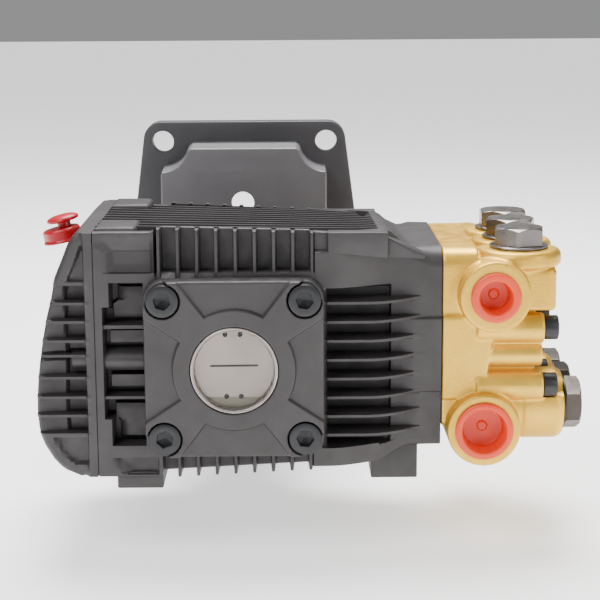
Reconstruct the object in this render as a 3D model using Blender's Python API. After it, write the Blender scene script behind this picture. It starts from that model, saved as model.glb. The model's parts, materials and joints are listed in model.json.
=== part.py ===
"""Triplex plunger pump for a pressure washer: aluminium crankcase, brass manifold, engine flange."""
import math

import bmesh
import bpy
import numpy as np
from mathutils import Matrix, Vector

MM = 0.001
# the drawing frame has its zero on the crank axis; these move it to bottom centre of the box
SHIFT = Vector((-30.0, -44.5, 81.98))

COVER_Y = -60.0          # outer face of the side cover
WALL_Y = 51.0            # crank zone side walls
CHAMBER_Y = 43.0
REAR_X = -55.2           # crankcase face towards the rear cover
FRONT_X = 82.5           # crankcase face towards the manifold
PLUNGERS = (-26.0, 0.0, 26.0)
PHASES = (0.0, 120.0, 240.0)
THROW = 4.0              # crank eccentricity, half of the stroke
ROD_LENGTH = 46.0
SCREW_Y = (-37.5, -13.0, 13.0, 37.5)
SCREW_Z = (-12.0, 12.0)
COVER_PITCH = 28.0
FLANGE_FRONT = 139.0
FLANGE_FACE = 149.0
BOLT = (41.3, 71.5)      # 165.1 mm bolt circle of a small engine
GUIDE_R = 10.3
CAP_X = 116.3
SUCTION_Z = -22.3
OUTLET = (104.6, 26.4)
INLET = (100.7, -28.6)
PORT_Y = -48.0

for old in list(bpy.data.objects):
    bpy.data.objects.remove(old, do_unlink=True)


# ---- materials -------------------------------------------------------------------------------
def material(name, color, metallic, roughness, transmission=0.0):
    mat = bpy.data.materials.new(name)
    mat.use_nodes = True
    shader = mat.node_tree.nodes["Principled BSDF"]
    shader.inputs["Base Color"].default_value = (*color, 1.0)
    shader.inputs["Metallic"].default_value = metallic
    shader.inputs["Roughness"].default_value = roughness
    shader.inputs["Transmission Weight"].default_value = transmission
    return mat


def cast_aluminium():
    return material("cast_aluminium", (0.105, 0.092, 0.085), 0.6, 0.5)


def forged_brass():
    return material("forged_brass", (0.68, 0.47, 0.19), 0.9, 0.35)


def plated_steel():
    return material("plated_steel", (0.42, 0.40, 0.38), 0.9, 0.35)


def black_screw_steel():
    return material("black_screw_steel", (0.03, 0.032, 0.036), 0.5, 0.4)


def machined_steel():
    return material("machined_steel", (0.55, 0.55, 0.54), 1.0, 0.3)


def rubber():
    return material("rubber", (0.02, 0.02, 0.02), 0.0, 0.7)


def orange_plastic():
    return material("orange_plastic", (0.80, 0.13, 0.06), 0.0, 0.45)


def red_plastic():
    return material("red_plastic", (0.58, 0.02, 0.04), 0.0, 0.35)


def clear_plastic():
    return material("clear_plastic", (0.9, 0.9, 0.88), 0.0, 0.08, 0.9)


# ---- solids ----------------------------------------------------------------------------------
def solid(name, verts, faces):
    mesh = bpy.data.meshes.new(name)
    mesh.from_pydata([tuple((Vector(v) + SHIFT) * MM) for v in verts], [], faces)
    bm = bmesh.new()
    bm.from_mesh(mesh)
    bmesh.ops.recalc_face_normals(bm, faces=bm.faces)
    bm.to_mesh(mesh)
    bm.free()
    obj = bpy.data.objects.new(name, mesh)
    bpy.context.scene.collection.objects.link(obj)
    return obj


def place(axis, u, v, a):
    """A point from its two section coordinates and its distance along the axis."""
    if axis == "X":
        return (a, u, v)
    if axis == "Y":
        return (u, a, v)
    return (u, v, a)


def prism(name, axis, outline, a0, a1):
    n = len(outline)
    verts = [place(axis, u, v, a0) for u, v in outline]
    verts += [place(axis, u, v, a1) for u, v in outline]
    faces = [list(range(n)), list(range(n, 2 * n))]
    faces += [[i, (i + 1) % n, n + (i + 1) % n, n + i] for i in range(n)]
    return solid(name, verts, faces)


def box(name, x0, x1, y0, y1, z0, z1):
    return prism(name, "Z", [(x0, y0), (x1, y0), (x1, y1), (x0, y1)], z0, z1)


def circle(u, v, r, n, turn=0.0):
    angles = np.linspace(0.0, 2.0 * math.pi, n, endpoint=False) + math.radians(turn)
    return [(u + r * math.cos(t), v + r * math.sin(t)) for t in angles]


def cyl(name, axis, u, v, r, a0, a1, n=16, turn=0.0):
    return prism(name, axis, circle(u, v, r, n, turn), a0, a1)


def lathe(name, axis, u, v, profile, n=16, turn=0.0):
    """A closed profile of (radius, distance along the axis) turned round the axis."""
    verts = []
    for r, a in profile:
        verts += [place(axis, p, q, a) for p, q in circle(u, v, r, n, turn)]
    m = len(profile)
    faces = []
    for j in range(m):
        k = (j + 1) % m
        faces += [[j * n + i, j * n + (i + 1) % n, k * n + (i + 1) % n, k * n + i] for i in range(n)]
    return solid(name, verts, faces)


def spun(name, axis, u, v, profile, n=16, turn=0.0):
    """An open profile whose first and last rings are closed with flat faces."""
    verts = []
    for r, a in profile:
        verts += [place(axis, p, q, a) for p, q in circle(u, v, r, n, turn)]
    m = len(profile)
    faces = [list(range(n)), list(range((m - 1) * n, m * n))]
    for j in range(m - 1):
        k = j + 1
        faces += [[j * n + i, j * n + (i + 1) % n, k * n + (i + 1) % n, k * n + i] for i in range(n)]
    return solid(name, verts, faces)


def hexagon(u, v, across, turn=0.0):
    return circle(u, v, across / math.sqrt(3.0), 6, turn)


def joined(name, pieces):
    """Separate cutters or ribs that do not touch each other, kept in one mesh."""
    bm = bmesh.new()
    for piece in pieces:
        bm.from_mesh(piece.data)
        bpy.data.objects.remove(piece, do_unlink=True)
    mesh = bpy.data.meshes.new(name)
    bm.to_mesh(mesh)
    bm.free()
    obj = bpy.data.objects.new(name, mesh)
    bpy.context.scene.collection.objects.link(obj)
    return obj


def combine(target, tool, how):
    tool.hide_render = True
    tool.display_type = "WIRE"
    mod = target.modifiers.new("cut", "BOOLEAN")
    mod.operation = how
    mod.solver = "EXACT"
    mod.object = tool
    graph = bpy.context.evaluated_depsgraph_get()
    mesh = bpy.data.meshes.new_from_object(target.evaluated_get(graph))
    target.modifiers.clear()
    target.data = mesh
    bpy.data.objects.remove(tool, do_unlink=True)
    return target


def add(target, *tools):
    for tool in tools:
        combine(target, tool, "UNION")
    return target


def cut(target, *tools):
    for tool in tools:
        combine(target, tool, "DIFFERENCE")
    return target


def tidy(obj):
    """Weld the points a Boolean leaves on top of each other and drop flat slivers."""
    bm = bmesh.new()
    bm.from_mesh(obj.data)
    bmesh.ops.remove_doubles(bm, verts=bm.verts, dist=0.00002)
    bmesh.ops.dissolve_degenerate(bm, edges=bm.edges, dist=0.00001)
    bmesh.ops.dissolve_limit(bm, angle_limit=0.002, verts=bm.verts, edges=bm.edges)
    bmesh.ops.triangulate(bm, faces=bm.faces)
    bm.to_mesh(obj.data)
    bm.free()


def finish(obj, name, mat, smooth=False):
    tidy(obj)
    obj.name = name
    obj.data.name = name
    obj.data.materials.clear()
    obj.data.materials.append(mat)
    if smooth:
        obj.data.shade_smooth()
        obj.data.set_sharp_from_angle(angle=math.radians(35.0))
    return obj


def pivot(obj, x, y, z):
    """Moves a piece's origin to a point on its joint axis, leaving the shape where it is."""
    point = (Vector((x, y, z)) + SHIFT) * MM
    obj.data.transform(Matrix.Translation(-point))
    obj.location = point
    return obj


# ---- crankcase -------------------------------------------------------------------------------
RIGHT_FINS = [31.2 - 7.74 * i for i in range(9)]
UPPER_FINS = [-29.7 + 7.6 * i for i in range(9)]
LOWER_FINS = [-22.9 + 7.6 * i for i in range(8)]


def side_fins(side):
    """Cooling fins of one side wall: upright above and below the cover, level beside it."""
    fins = []
    y0, y1 = sorted((side * 45.5, side * WALL_Y))
    for x in UPPER_FINS:
        fins.append(box("fin", x - 0.9, x + 0.9, y0, y1, 37.0, 50.2))
    for x in LOWER_FINS:
        fins.append(box("fin", x - 0.9, x + 0.9, y0, y1, -45.4, -37.6))
    for z in RIGHT_FINS:
        tip = [(36.2, 40.2), (36.2, WALL_Y), (58.0, WALL_Y), (67.0, 47.5), (73.0, 40.6), (62.5, 40.2)]
        fins.append(prism("fin", "Z", [(x, side * y) for x, y in tip], z - 0.85, z + 0.85))
    for z in (-14.3, 14.3):
        fins.append(box("fin", -53.4, -36.6, y0, y1, z - 1.2, z + 1.2))
    fins.append(cyl("fin", "X", side * 46.2, 0.0, 4.6, -53.4, -36.6, 8))
    return joined("side_fins", fins)


def side_pockets(side):
    cuts = []
    y0, y1 = sorted((side * 46.2, side * 60.0))
    cuts.append(box("c", -33.8, 34.6, y0, y1, 38.0, 49.4))
    cuts.append(box("c", -53.0, -37.0, y0, y1, -33.3, 32.6))
    cuts.append(box("c", -27.0, 34.6, y0, y1, -46.5, -38.4))
    y0, y1 = sorted((side * 41.0, side * 60.0))
    cuts.append(box("c", 36.8, 63.0, y0, y1, -35.0, 35.4))
    return joined("side_pockets", cuts)


def crankcase_outside():
    outline = [(REAR_X, -45.5), (62.0, -45.5), (62.0, 50.0), (REAR_X, 50.0)]
    body = prism("crankcase", "Y", outline, -WALL_Y, WALL_Y)
    neck = [(50.0, -38.5), (FRONT_X, -36.5), (FRONT_X, 40.5), (79.0, 44.5), (62.0, 50.0), (50.0, 50.0)]
    add(body, prism("neck", "Y", neck, -40.5, 40.5))
    add(body, box("band", 64.0, FRONT_X, -43.0, 43.0, -16.0, 16.0))
    for side in (-1, 1):
        cut(body, side_pockets(side))
        add(body, side_fins(side))
    ribs = []
    for i in range(8):
        y = -36.0 + 9.0 * i
        ribs.append(box("rib", -33.0, 58.0, y - 1.0, y + 1.0, 49.0, 54.8))
    for side in (-1, 1):
        y0, y1 = sorted((side * 41.0, side * (WALL_Y - 0.2)))
        ribs.append(box("rib", 30.0, 60.0, y0, y1, 49.0, 54.4))
        y0, y1 = sorted((side * 21.0, side * 45.0))
        ribs.append(box("pad", -54.8, -38.6, y0, y1, 49.0, 55.0))
    add(body, joined("top_ribs", ribs))
    feet = []
    for side in (-1, 1):
        y0, y1 = sorted((side * 24.0, side * 50.0))
        feet.append(box("foot", -48.2, -29.6, y0, y1, -51.2, -45.0))
        y0, y1 = sorted((side * 14.0, side * 38.0))
        feet.append(box("foot", 55.3, 74.5, y0, y1, -51.2, -37.0))
    return add(body, joined("feet", feet))


def crankcase(mat):
    body = crankcase_outside()
    cut(body, box("chamber", -70.0, 34.0, -CHAMBER_Y, CHAMBER_Y, -39.5, 44.5))
    bosses = []
    for side in (-1, 1):
        y0, y1 = sorted((side * 35.0, side * 43.6))
        for x in (-COVER_PITCH, COVER_PITCH):
            for z in (-COVER_PITCH, COVER_PITCH):
                bosses.append(cyl("boss", "Y", x, z, 7.5, y0, y1, 8))
        y0, y1 = sorted((side * 38.5, side * 43.6))
        bosses.append(box("boss", REAR_X, -42.0, y0, y1, 36.2, 45.2))
        bosses.append(box("boss", REAR_X, -42.0, y0, y1, -40.2, -31.8))
    add(body, joined("bosses", bosses))
    bores = [cyl("bore", "X", y, 0.0, GUIDE_R, 30.0, 68.0, 16) for y in PLUNGERS]
    cut(body, joined("guides", bores))
    bores = [cyl("bore", "X", y, 0.0, 8.0, 66.0, 90.0, 12) for y in PLUNGERS]
    cut(body, joined("rod_bores", bores))
    cut(body, cyl("near_hole", "Y", 0.0, 0.0, 29.6, -60.0, -35.0, 24))
    cut(body, cyl("far_hole", "Y", 0.0, 0.0, 31.3, 35.0, 60.0, 24))
    holes = []
    for x in (-COVER_PITCH, COVER_PITCH):
        for z in (-COVER_PITCH, COVER_PITCH):
            holes.append(cyl("hole", "Y", x, z, 4.3, -60.0, -36.5, 10))
            holes.append(cyl("hole", "Y", x, z, 4.3, 36.5, 60.0, 10))
    for y in SCREW_Y:
        for z in SCREW_Z:
            holes.append(cyl("hole", "X", y, z, 3.35, 69.0, 90.0, 8))
    for y in (-41.8, 41.8):
        for z in (40.6, -36.2):
            holes.append(cyl("hole", "X", y, z, 2.8, -70.0, -43.5, 8))
    for side in (-1, 1):
        holes.append(cyl("hole", "Z", -38.9, side * 37.0, 3.4, -60.0, -43.0, 8))
        holes.append(cyl("hole", "Z", 64.9, side * 26.0, 3.4, -60.0, -42.0, 8))
    cut(body, joined("screw_holes", holes))
    return finish(body, "crankcase", mat)


# ---- rear cover ------------------------------------------------------------------------------
REAR_PROFILE = [
    (-56.4, 53.9), (-60.0, 53.8), (-63.0, 52.9), (-65.4, 50.2), (-68.6, 42.5), (-71.8, 35.0),
    (-73.2, 27.4), (-75.2, 20.1), (-77.0, 10.8), (-78.3, 3.0), (-79.3, -4.0), (-80.2, -17.0),
    (-79.6, -26.5), (-77.4, -32.9), (-73.9, -38.8), (-70.3, -42.6), (-66.5, -44.8), (-56.4, -45.9)]
REAR_FINS = [31.2 - 7.65 * i for i in range(9)]


def rear_cover(mat):
    body = prism("rear_cover", "Y", REAR_PROFILE, -47.0, 47.0)
    add(body, box("rim", -60.0, -56.4, -50.6, 50.6, -45.7, 53.6))
    add(body, spun("boss", "Z", -74.4, 0.0, [(4.5, 28.0), (8.2, 40.0), (8.2, 43.6)], 14))
    cut(body, cyl("cap_seat", "Z", -74.4, 0.0, 9.2, 43.6, 60.0, 16))
    grooves = []
    for side in (-1, 1):
        y0, y1 = sorted((side * 41.5, side * 56.0))
        for z in REAR_FINS[:-1]:
            grooves.append(box("g", -90.0, -60.4, y0, y1, z - 6.7, z - 0.95))
    cut(body, joined("grooves", grooves))
    stubs = [cyl("stub", "X", side * 44.0, 2.0, 4.2, -65.3, -59.5, 8) for side in (-1, 1)]
    add(body, joined("stubs", stubs))
    hollow = [(-50.0, 44.5), (-60.0, 44.5), (-63.0, 41.0), (-67.0, 33.0), (-71.5, 16.0),
              (-74.6, -4.0), (-75.2, -19.0), (-72.5, -29.0), (-66.0, -38.5), (-50.0, -39.5)]
    cut(body, prism("hollow", "Y", hollow, -36.0, 36.0))
    cut(body, cyl("oil_hole", "Z", -74.4, 0.0, 4.6, 20.0, 60.0, 12))
    spots = [(y, z) for y in (-41.8, 41.8) for z in (40.6, -36.2)]
    cut(body, joined("counterbores", [cyl("h", "X", y, z, 4.7, -90.0, -61.6, 8) for y, z in spots]))
    cut(body, joined("clearances", [cyl("h", "X", y, z, 2.8, -64.0, -50.0, 8) for y, z in spots]))
    return finish(body, "rear_cover", mat)


def rear_gasket(mat):
    body = box("gasket", -56.1, -55.5, -50.4, 50.4, -45.2, 49.6)
    cut(body, box("inside", -60.0, -50.0, -38.0, 38.0, -38.0, 43.0))
    cut(body, joined("holes", [
        cyl("h", "X", y, z, 2.9, -60.0, -50.0, 8) for y in (-41.8, 41.8) for z in (40.6, -36.2)]))
    return finish(body, "rear_cover_gasket", mat)


# ---- screws ----------------------------------------------------------------------------------
def socket_screw(name, mat, axis, u, v, seat, out, head_r, head_h, shank_r, length, key, n=10):
    """A socket cap screw; seat is where the head sits, out is the way the head points."""
    body = spun("screw", axis, u, v, [
        (shank_r, seat - out * length), (shank_r, seat), (head_r, seat),
        (head_r, seat + out * (head_h - 0.5)), (head_r - 0.5, seat + out * head_h)], n)
    a0, a1 = sorted((seat + out * (head_h * 0.45), seat + out * (head_h + 1.0)))
    cut(body, prism("key", axis, hexagon(u, v, key, 30.0), a0, a1))
    return finish(body, name, mat, True)


# ---- side cover ------------------------------------------------------------------------------
def side_cover(mat):
    c = 35.2
    k = 7.0
    outline = [(-c + k, -c), (c - k, -c), (c - 2.0, -c + 2.0), (c, -c + k), (c, c - k),
               (c - 2.0, c - 2.0), (c - k, c), (-c + k, c), (-c + 2.0, c - 2.0), (-c, c - k),
               (-c, -c + k), (-c + 2.0, -c + 2.0)]
    body = prism("side_cover", "Y", outline, COVER_Y, -51.6)
    panels = []
    for turn in range(4):
        s, t = math.sin(turn * math.pi / 2), math.cos(turn * math.pi / 2)
        shape = [(-20.0, 36.5), (20.0, 36.5), (11.5, 25.0), (0.0, 25.0), (-11.5, 25.0)]
        panels.append(prism("p", "Y", [(x * t - z * s, x * s + z * t) for x, z in shape],
                            COVER_Y - 1.0, COVER_Y + 1.1))
    cut(body, joined("panels", panels))
    add(body, cyl("spigot", "Y", 0.0, 0.0, 29.2, -52.0, -36.4, 24))
    cut(body, cyl("bearing_seat", "Y", 0.0, 0.0, 26.1, -50.0, -30.0, 24))
    cut(body, cyl("window_hole", "Y", 0.0, 0.0, 14.6, -70.0, -40.0, 24))
    cut(body, cyl("window_seat", "Y", 0.0, 0.0, 17.9, -70.0, -54.5, 24))
    holes = []
    pockets = []
    for x in (-COVER_PITCH, COVER_PITCH):
        for z in (-COVER_PITCH, COVER_PITCH):
            holes.append(cyl("h", "Y", x, z, 4.3, -57.0, -45.0, 10))
            pockets.append(cyl("p", "Y", x, z, 6.85, -70.0, -56.0, 14))
    cut(body, joined("pockets", pockets))
    cut(body, joined("holes", holes))
    return finish(body, "side_cover", mat)


def sight_window(mat):
    profile = [(17.55, -54.8), (17.55, -59.2), (16.2, -59.9), (15.6, -58.6)]
    body = spun("window", "Y", 0.0, 0.0, profile, 24)
    return finish(body, "sight_window", mat, True)


def sight_plate(mat):
    body = cyl("plate", "Y", 0.0, 0.0, 14.3, -54.0, -53.0, 24)
    cut(body, box("slot", -9.4, 9.4, -60.0, -50.0, 0.4, 1.4))
    return finish(body, "sight_plate", mat)


# ---- engine flange ---------------------------------------------------------------------------
def flange_outline():
    """Half-width against height: wider at the middle, rounded top and bottom corners."""
    right = []
    for t in np.linspace(0.0, 1.0, 4):
        a = math.radians(4.0 + 82.0 * t)
        right.append((41.5 + 8.3 * math.cos(a), 73.7 + 8.3 * math.sin(a)))
    upper = [(57.5, 22.0)] + right
    left = [(-x, z) for x, z in reversed(upper)]
    lower = [(-x, -z) for x, z in upper]
    lower_right = [(-x, z) for x, z in reversed(lower)]
    return upper + left + lower + lower_right


def bell_outline(inset=0.0):
    """The box in front of the plate, its corners notched round the bolts."""
    half = 41.3 - inset
    top = 71.0 - inset
    r = 13.5 + inset
    notch = []
    for t in np.linspace(0.0, 1.0, 5):
        a = math.radians(268.0 - 86.0 * t)
        notch.append((BOLT[0] + r * math.cos(a), BOLT[1] + r * math.sin(a)))
    notch = [(min(x, half), min(z, top)) for x, z in notch]
    q = [(half, 20.0)] + notch
    left = [(-x, z) for x, z in reversed(q)]
    lower = [(-x, -z) for x, z in q]
    lower_right = [(-x, z) for x, z in reversed(lower)]
    return q + left + lower + lower_right


def engine_flange(mat):
    body = prism("flange", "Y", flange_outline(), FLANGE_FRONT, FLANGE_FACE)
    add(body, prism("bell", "Y", bell_outline(), 114.0, FLANGE_FRONT + 1.0))
    hub = [(37.0, 52.0), (37.0, 62.0), (33.0, 66.0), (33.0, 116.0)]
    add(body, spun("hub", "Y", 0.0, 0.0, hub, 24))
    add(body, prism("seat", "Y", [(-35.5, -27), (-27, -35.5), (27, -35.5), (35.5, -27), (35.5, 27),
                                  (27, 35.5), (-27, 35.5), (-35.5, 27)], 51.4, 60.0))
    cut(body, prism("inside", "Y", bell_outline(4.0), 118.5, FLANGE_FACE + 4.0))
    cut(body, cyl("pilot", "Y", 0.0, 0.0, 52.0, 146.5, 160.0, 24))
    cut(body, cyl("shaft_way", "Y", 0.0, 0.0, 28.0, 62.0, 130.0, 24))
    cut(body, cyl("seal_way", "Y", 0.0, 0.0, 24.0, 40.0, 70.0, 24))
    cut(body, cyl("peep", "Y", -0.5, 43.4, 5.5, 110.0, 130.0, 12))
    holes = []
    for x in (-1, 1):
        for z in (-1, 1):
            holes.append(cyl("h", "Y", x * BOLT[0], z * BOLT[1], 5.5, 130.0, 160.0, 12))
    cut(body, joined("bolt_holes", holes))
    holes = []
    for x in (-COVER_PITCH, COVER_PITCH):
        for z in (-COVER_PITCH, COVER_PITCH):
            holes.append(cyl("h", "Y", x, z, 4.3, 45.0, 70.0, 10))
            holes.append(cyl("h", "Y", x, z, 7.6, 60.0, 113.0, 12))
    cut(body, joined("screw_ways", holes[1::2]))
    cut(body, joined("screw_holes", holes[0::2]))
    return finish(body, "engine_flange", mat)


# ---- crank train -----------------------------------------------------------------------------
def ring(name, mat, axis, u, v, r0, r1, a0, a1, n=20, smooth=True):
    body = lathe("ring", axis, u, v, [(r0, a0), (r1, a0), (r1, a1), (r0, a1)], n)
    return finish(body, name, mat, smooth)


def crankshaft(mat):
    shaft = spun("shaft", "Y", 0.0, 0.0, [
        (12.5, -48.5), (12.5, -35.2), (10.4, -35.0), (10.4, 33.0), (19.5, 33.2), (19.5, 35.2),
        (17.5, 35.3), (17.5, 104.0), (16.9, 104.6)], 24)
    for y, phase in zip(PLUNGERS, PHASES):
        a = math.radians(phase)
        add(shaft, cyl("pin", "Y", THROW * math.cos(a), THROW * math.sin(a), 15.0,
                       y - 5.0, y + 5.0, 20))
    cut(shaft, cyl("bore", "Y", 0.0, 0.0, 12.75, 40.0, 120.0, 24))
    cut(shaft, box("keyway", -3.2, 3.2, 42.0, 120.0, 10.0, 15.6))
    return finish(shaft, "crankshaft", mat)


def con_rod(index, mat):
    y = PLUNGERS[index]
    a = math.radians(PHASES[index])
    px, pz = THROW * math.cos(a), THROW * math.sin(a)
    body = cyl("rod", "Y", px, pz, 19.5, y - 4.0, y + 4.0, 20)
    add(body, box("beam", px + 15.0, px + ROD_LENGTH, y - 2.6, y + 2.6, pz - 2.8, pz + 2.8))
    add(body, cyl("eye", "Y", px + ROD_LENGTH, pz, 3.6, y - 3.5, y + 3.5, 12))
    cut(body, cyl("big_end", "Y", px, pz, 15.35, y - 8.0, y + 8.0, 20))
    return pivot(finish(body, f"con_rod_{index + 1}", mat), px, y, pz)


def plunger_x(index):
    return ROD_LENGTH + THROW * math.cos(math.radians(PHASES[index]))


def plunger(index, mat):
    """Crosshead with an open cup for the rod eye, and the plunger that runs in the packing."""
    y, c = PLUNGERS[index], plunger_x(index)
    body = spun("plunger", "X", y, 0.0, [
        (9.95, c - 9.0), (9.95, c + 16.0), (7.3, c + 16.2), (7.3, c + 57.0), (6.5, c + 58.0)], 16)
    cut(body, cyl("cup", "X", y, 0.0, 9.05, c - 20.0, c + 12.4, 16))
    return pivot(finish(body, f"plunger_{index + 1}", mat, True), c, y, 0.0)


# ---- brass manifold --------------------------------------------------------------------------
def manifold_outside():
    x0 = FRONT_X + 0.3
    body = prism("head", "Y", [(x0, -30.0), (86.0, -36.0), (104.0, -36.0), (104.0, 42.0),
                               (90.0, 42.5), (x0, 40.5)], -38.5, 38.5)
    add(body, box("band", x0, 103.0, -42.0, 42.0, -16.0, 16.5))
    add(body, box("delivery", 96.0, 130.0, -41.0, 41.0, 19.0, 40.0))
    add(body, box("core", 100.0, 122.0, -37.5, 37.5, -20.0, 21.0))
    for y in PLUNGERS:
        add(body, spun("collar", "Z", CAP_X, y, [(15.5, 35.0), (17.0, 38.0), (17.0, 42.4),
                                                 (16.2, 43.2)], 20))
        add(body, spun("suction", "X", y, SUCTION_Z, [(14.6, 98.0), (14.8, 133.0), (13.6, 134.8)], 20))
    for y in SCREW_Y:
        tubes = [cyl("tube", "X", y, z, 6.0, 100.0, 125.4, 12) for z in SCREW_Z]
        add(body, joined("tubes", tubes))
    for side in (-1, 1):
        add(body, cyl("rib", "X", side * 36.5, 0.8, 5.0, 100.0, 125.2, 12))
    add(body, cyl("inlet", "Y", INLET[0], INLET[1], 14.9, PORT_Y, -PORT_Y, 24))
    add(body, cyl("outlet", "Y", OUTLET[0], OUTLET[1], 14.4, PORT_Y, 62.0, 24))
    return body


def manifold(mat):
    body = manifold_outside()
    bores = [cyl("b", "X", y, 0.0, 8.6, 80.0, 121.0, 14) for y in PLUNGERS]
    cut(body, joined("chambers", bores))
    bores = [cyl("b", "X", y, 0.0, 11.2, 80.0, 95.0, 14) for y in PLUNGERS]
    cut(body, joined("packing_seats", bores))
    bores = [cyl("b", "Z", CAP_X, y, 7.0, 13.0, 60.0, 14) for y in PLUNGERS]
    cut(body, joined("delivery_bores", bores))
    bores = [cyl("b", "Z", CAP_X, y, 4.4, 0.0, 20.0, 10) for y in PLUNGERS]
    cut(body, joined("delivery_seats", bores))
    bores = [cyl("b", "X", y, SUCTION_Z, 8.0, 112.5, 150.0, 14) for y in PLUNGERS]
    cut(body, joined("suction_bores", bores))
    bores = [cyl("b", "X", y, SUCTION_Z, 4.4, 100.0, 120.0, 10) for y in PLUNGERS]
    cut(body, joined("suction_seats", bores))
    bores = [cyl("b", "Z", 117.5, y, 3.8, -22.0, -2.0, 8) for y in PLUNGERS]
    cut(body, joined("risers", bores))
    cut(body, cyl("inlet_way", "Y", INLET[0], INLET[1], 7.2, -60.0, 60.0, 14))
    cut(body, cyl("outlet_way", "Y", OUTLET[0], OUTLET[1], 5.2, -60.0, 80.0, 14))
    ports = [cyl("p", "Y", INLET[0], INLET[1], 10.2, -60.0, -33.0, 16),
             cyl("p", "Y", INLET[0], INLET[1], 10.2, 36.0, 60.0, 16),
             cyl("p", "Y", OUTLET[0], OUTLET[1], 8.2, -60.0, -35.0, 16),
             cyl("p", "Y", OUTLET[0], OUTLET[1], 8.2, 48.0, 80.0, 16)]
    cut(body, joined("ports", ports))
    holes = [cyl("h", "X", y, z, 3.35, 70.0, 140.0, 8) for y in SCREW_Y for z in SCREW_Z]
    cut(body, joined("screw_holes", holes))
    seats = [cyl("s", "X", y, -12.0, 5.6, 125.5, 140.0, 12) for y in SCREW_Y]
    cut(body, joined("head_pockets", seats))
    return finish(body, "manifold", mat)


def delivery_cap(index, mat):
    y = PLUNGERS[index]
    body = spun("cap", "Z", CAP_X, y, [(6.6, 33.0), (6.6, 43.5), (12.7, 43.5), (12.7, 44.5)], 16)
    add(body, prism("hex", "Z", hexagon(CAP_X, y, 19.0, 85.0), 44.0, 51.4))
    cut(body, cyl("relief", "Z", CAP_X, y, 3.2, 30.0, 38.0, 8))
    return finish(body, f"delivery_cap_{index + 1}", mat)


def suction_cap(index, mat):
    y = PLUNGERS[index]
    body = spun("cap", "X", y, SUCTION_Z, [(7.6, 125.0), (7.6, 135.1), (10.8, 135.1), (10.8, 136.1)], 16)
    add(body, prism("hex", "X", hexagon(y, SUCTION_Z, 19.0, 0.0), 135.8, 142.6))
    cut(body, cyl("relief", "X", y, SUCTION_Z, 3.2, 120.0, 130.0, 8))
    return finish(body, f"suction_cap_{index + 1}", mat)


def delivery_valve(index, mat):
    y = PLUNGERS[index]
    body = spun("valve", "Z", CAP_X, y, [(6.0, 13.3), (6.0, 15.0), (2.2, 15.3), (2.2, 27.0)], 12)
    return pivot(finish(body, f"delivery_valve_{index + 1}", mat, True), CAP_X, y, 14.0)


def suction_valve(index, mat):
    y = PLUNGERS[index]
    body = spun("valve", "X", y, SUCTION_Z, [
        (6.6, 112.8), (6.6, 114.4), (2.2, 114.7), (2.2, 121.0)], 12)
    return pivot(finish(body, f"suction_valve_{index + 1}", mat, True), 113.5, y, SUCTION_Z)


def port_plug(name, mat, centre, flange_r, stub_r, cup_r):
    """A push-in thread protector: flange on the boss face, a cup-shaped stub in the port."""
    f = PORT_Y - 0.3
    body = spun("plug", "Y", centre[0], centre[1], [
        (stub_r - 0.4, f + 11.0), (stub_r, f + 10.0), (stub_r, f), (flange_r, f),
        (flange_r, f - 1.0), (flange_r - 0.4, f - 1.5)], 20)
    cut(body, cyl("cup", "Y", centre[0], centre[1], cup_r, f - 5.0, f + 9.0, 16))
    return pivot(finish(body, name, mat), centre[0], f, centre[1])


def far_plug(name, mat, centre, radius, stub_r, seat):
    body = spun("plug", "Y", centre[0], centre[1], [
        (stub_r, seat - 9.0), (stub_r, seat + 0.3), (radius, seat + 0.3), (radius, seat + 5.0),
        (radius - 1.2, seat + 6.2)], 16)
    cut(body, prism("key", "Y", hexagon(centre[0], centre[1], 10.0), seat + 1.5, seat + 9.0))
    return finish(body, name, mat)


def oil_cap(mat):
    body = spun("oil_cap", "Z", -74.4, 0.0, [
        (4.2, 33.0), (4.2, 43.9), (8.2, 43.9), (8.2, 46.5), (6.6, 48.0), (6.6, 53.4), (6.0, 54.0)], 14)
    cut(body, cyl("vent", "Z", -74.4, 0.0, 2.0, 30.0, 41.0, 8))
    return pivot(finish(body, "oil_filler_cap", mat, True), -74.4, 0.0, 44.0)


# ---- build -----------------------------------------------------------------------------------
def build_casing(alu, steel, screw, seal, glass):
    crankcase(alu)
    rear_cover(alu)
    rear_gasket(seal)
    side_cover(alu)
    sight_window(glass)
    sight_plate(steel)
    engine_flange(alu)
    ring("side_cover_seal", seal, "Y", 0.0, 0.0, 29.9, 32.0, -51.4, -51.15, 16, False)
    number = 0
    for z in (COVER_PITCH, -COVER_PITCH):
        for x in (-COVER_PITCH, COVER_PITCH):
            number += 1
            socket_screw(f"cover_screw_{number}", screw, "Y", x, z, -56.3, -1, 6.5, 3.7, 4.0, 17.0, 6.0)
            socket_screw(f"flange_screw_{number}", screw, "Y", x, z, 60.3, 1, 6.5, 8.0, 4.0, 21.0, 6.0)
    number = 0
    for z in (40.6, -36.2):
        for y in (-41.8, 41.8):
            number += 1
            socket_screw(f"rear_screw_{number}", screw, "X", y, z, -61.9, -1, 4.2, 5.0, 2.5, 18.0, 4.0, 8)


def build_crank_train(steel, alu, seal):
    crankshaft(steel)
    ring("near_bearing", steel, "Y", 0.0, 0.0, 12.8, 25.8, -49.5, -36.5)
    ring("far_bearing", steel, "Y", 0.0, 0.0, 17.8, 31.0, 36.0, 51.0)
    ring("shaft_seal", seal, "Y", 0.0, 0.0, 17.8, 23.7, 52.0, 60.0)
    for index in range(3):
        con_rod(index, alu)
        plunger(index, steel)


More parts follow.
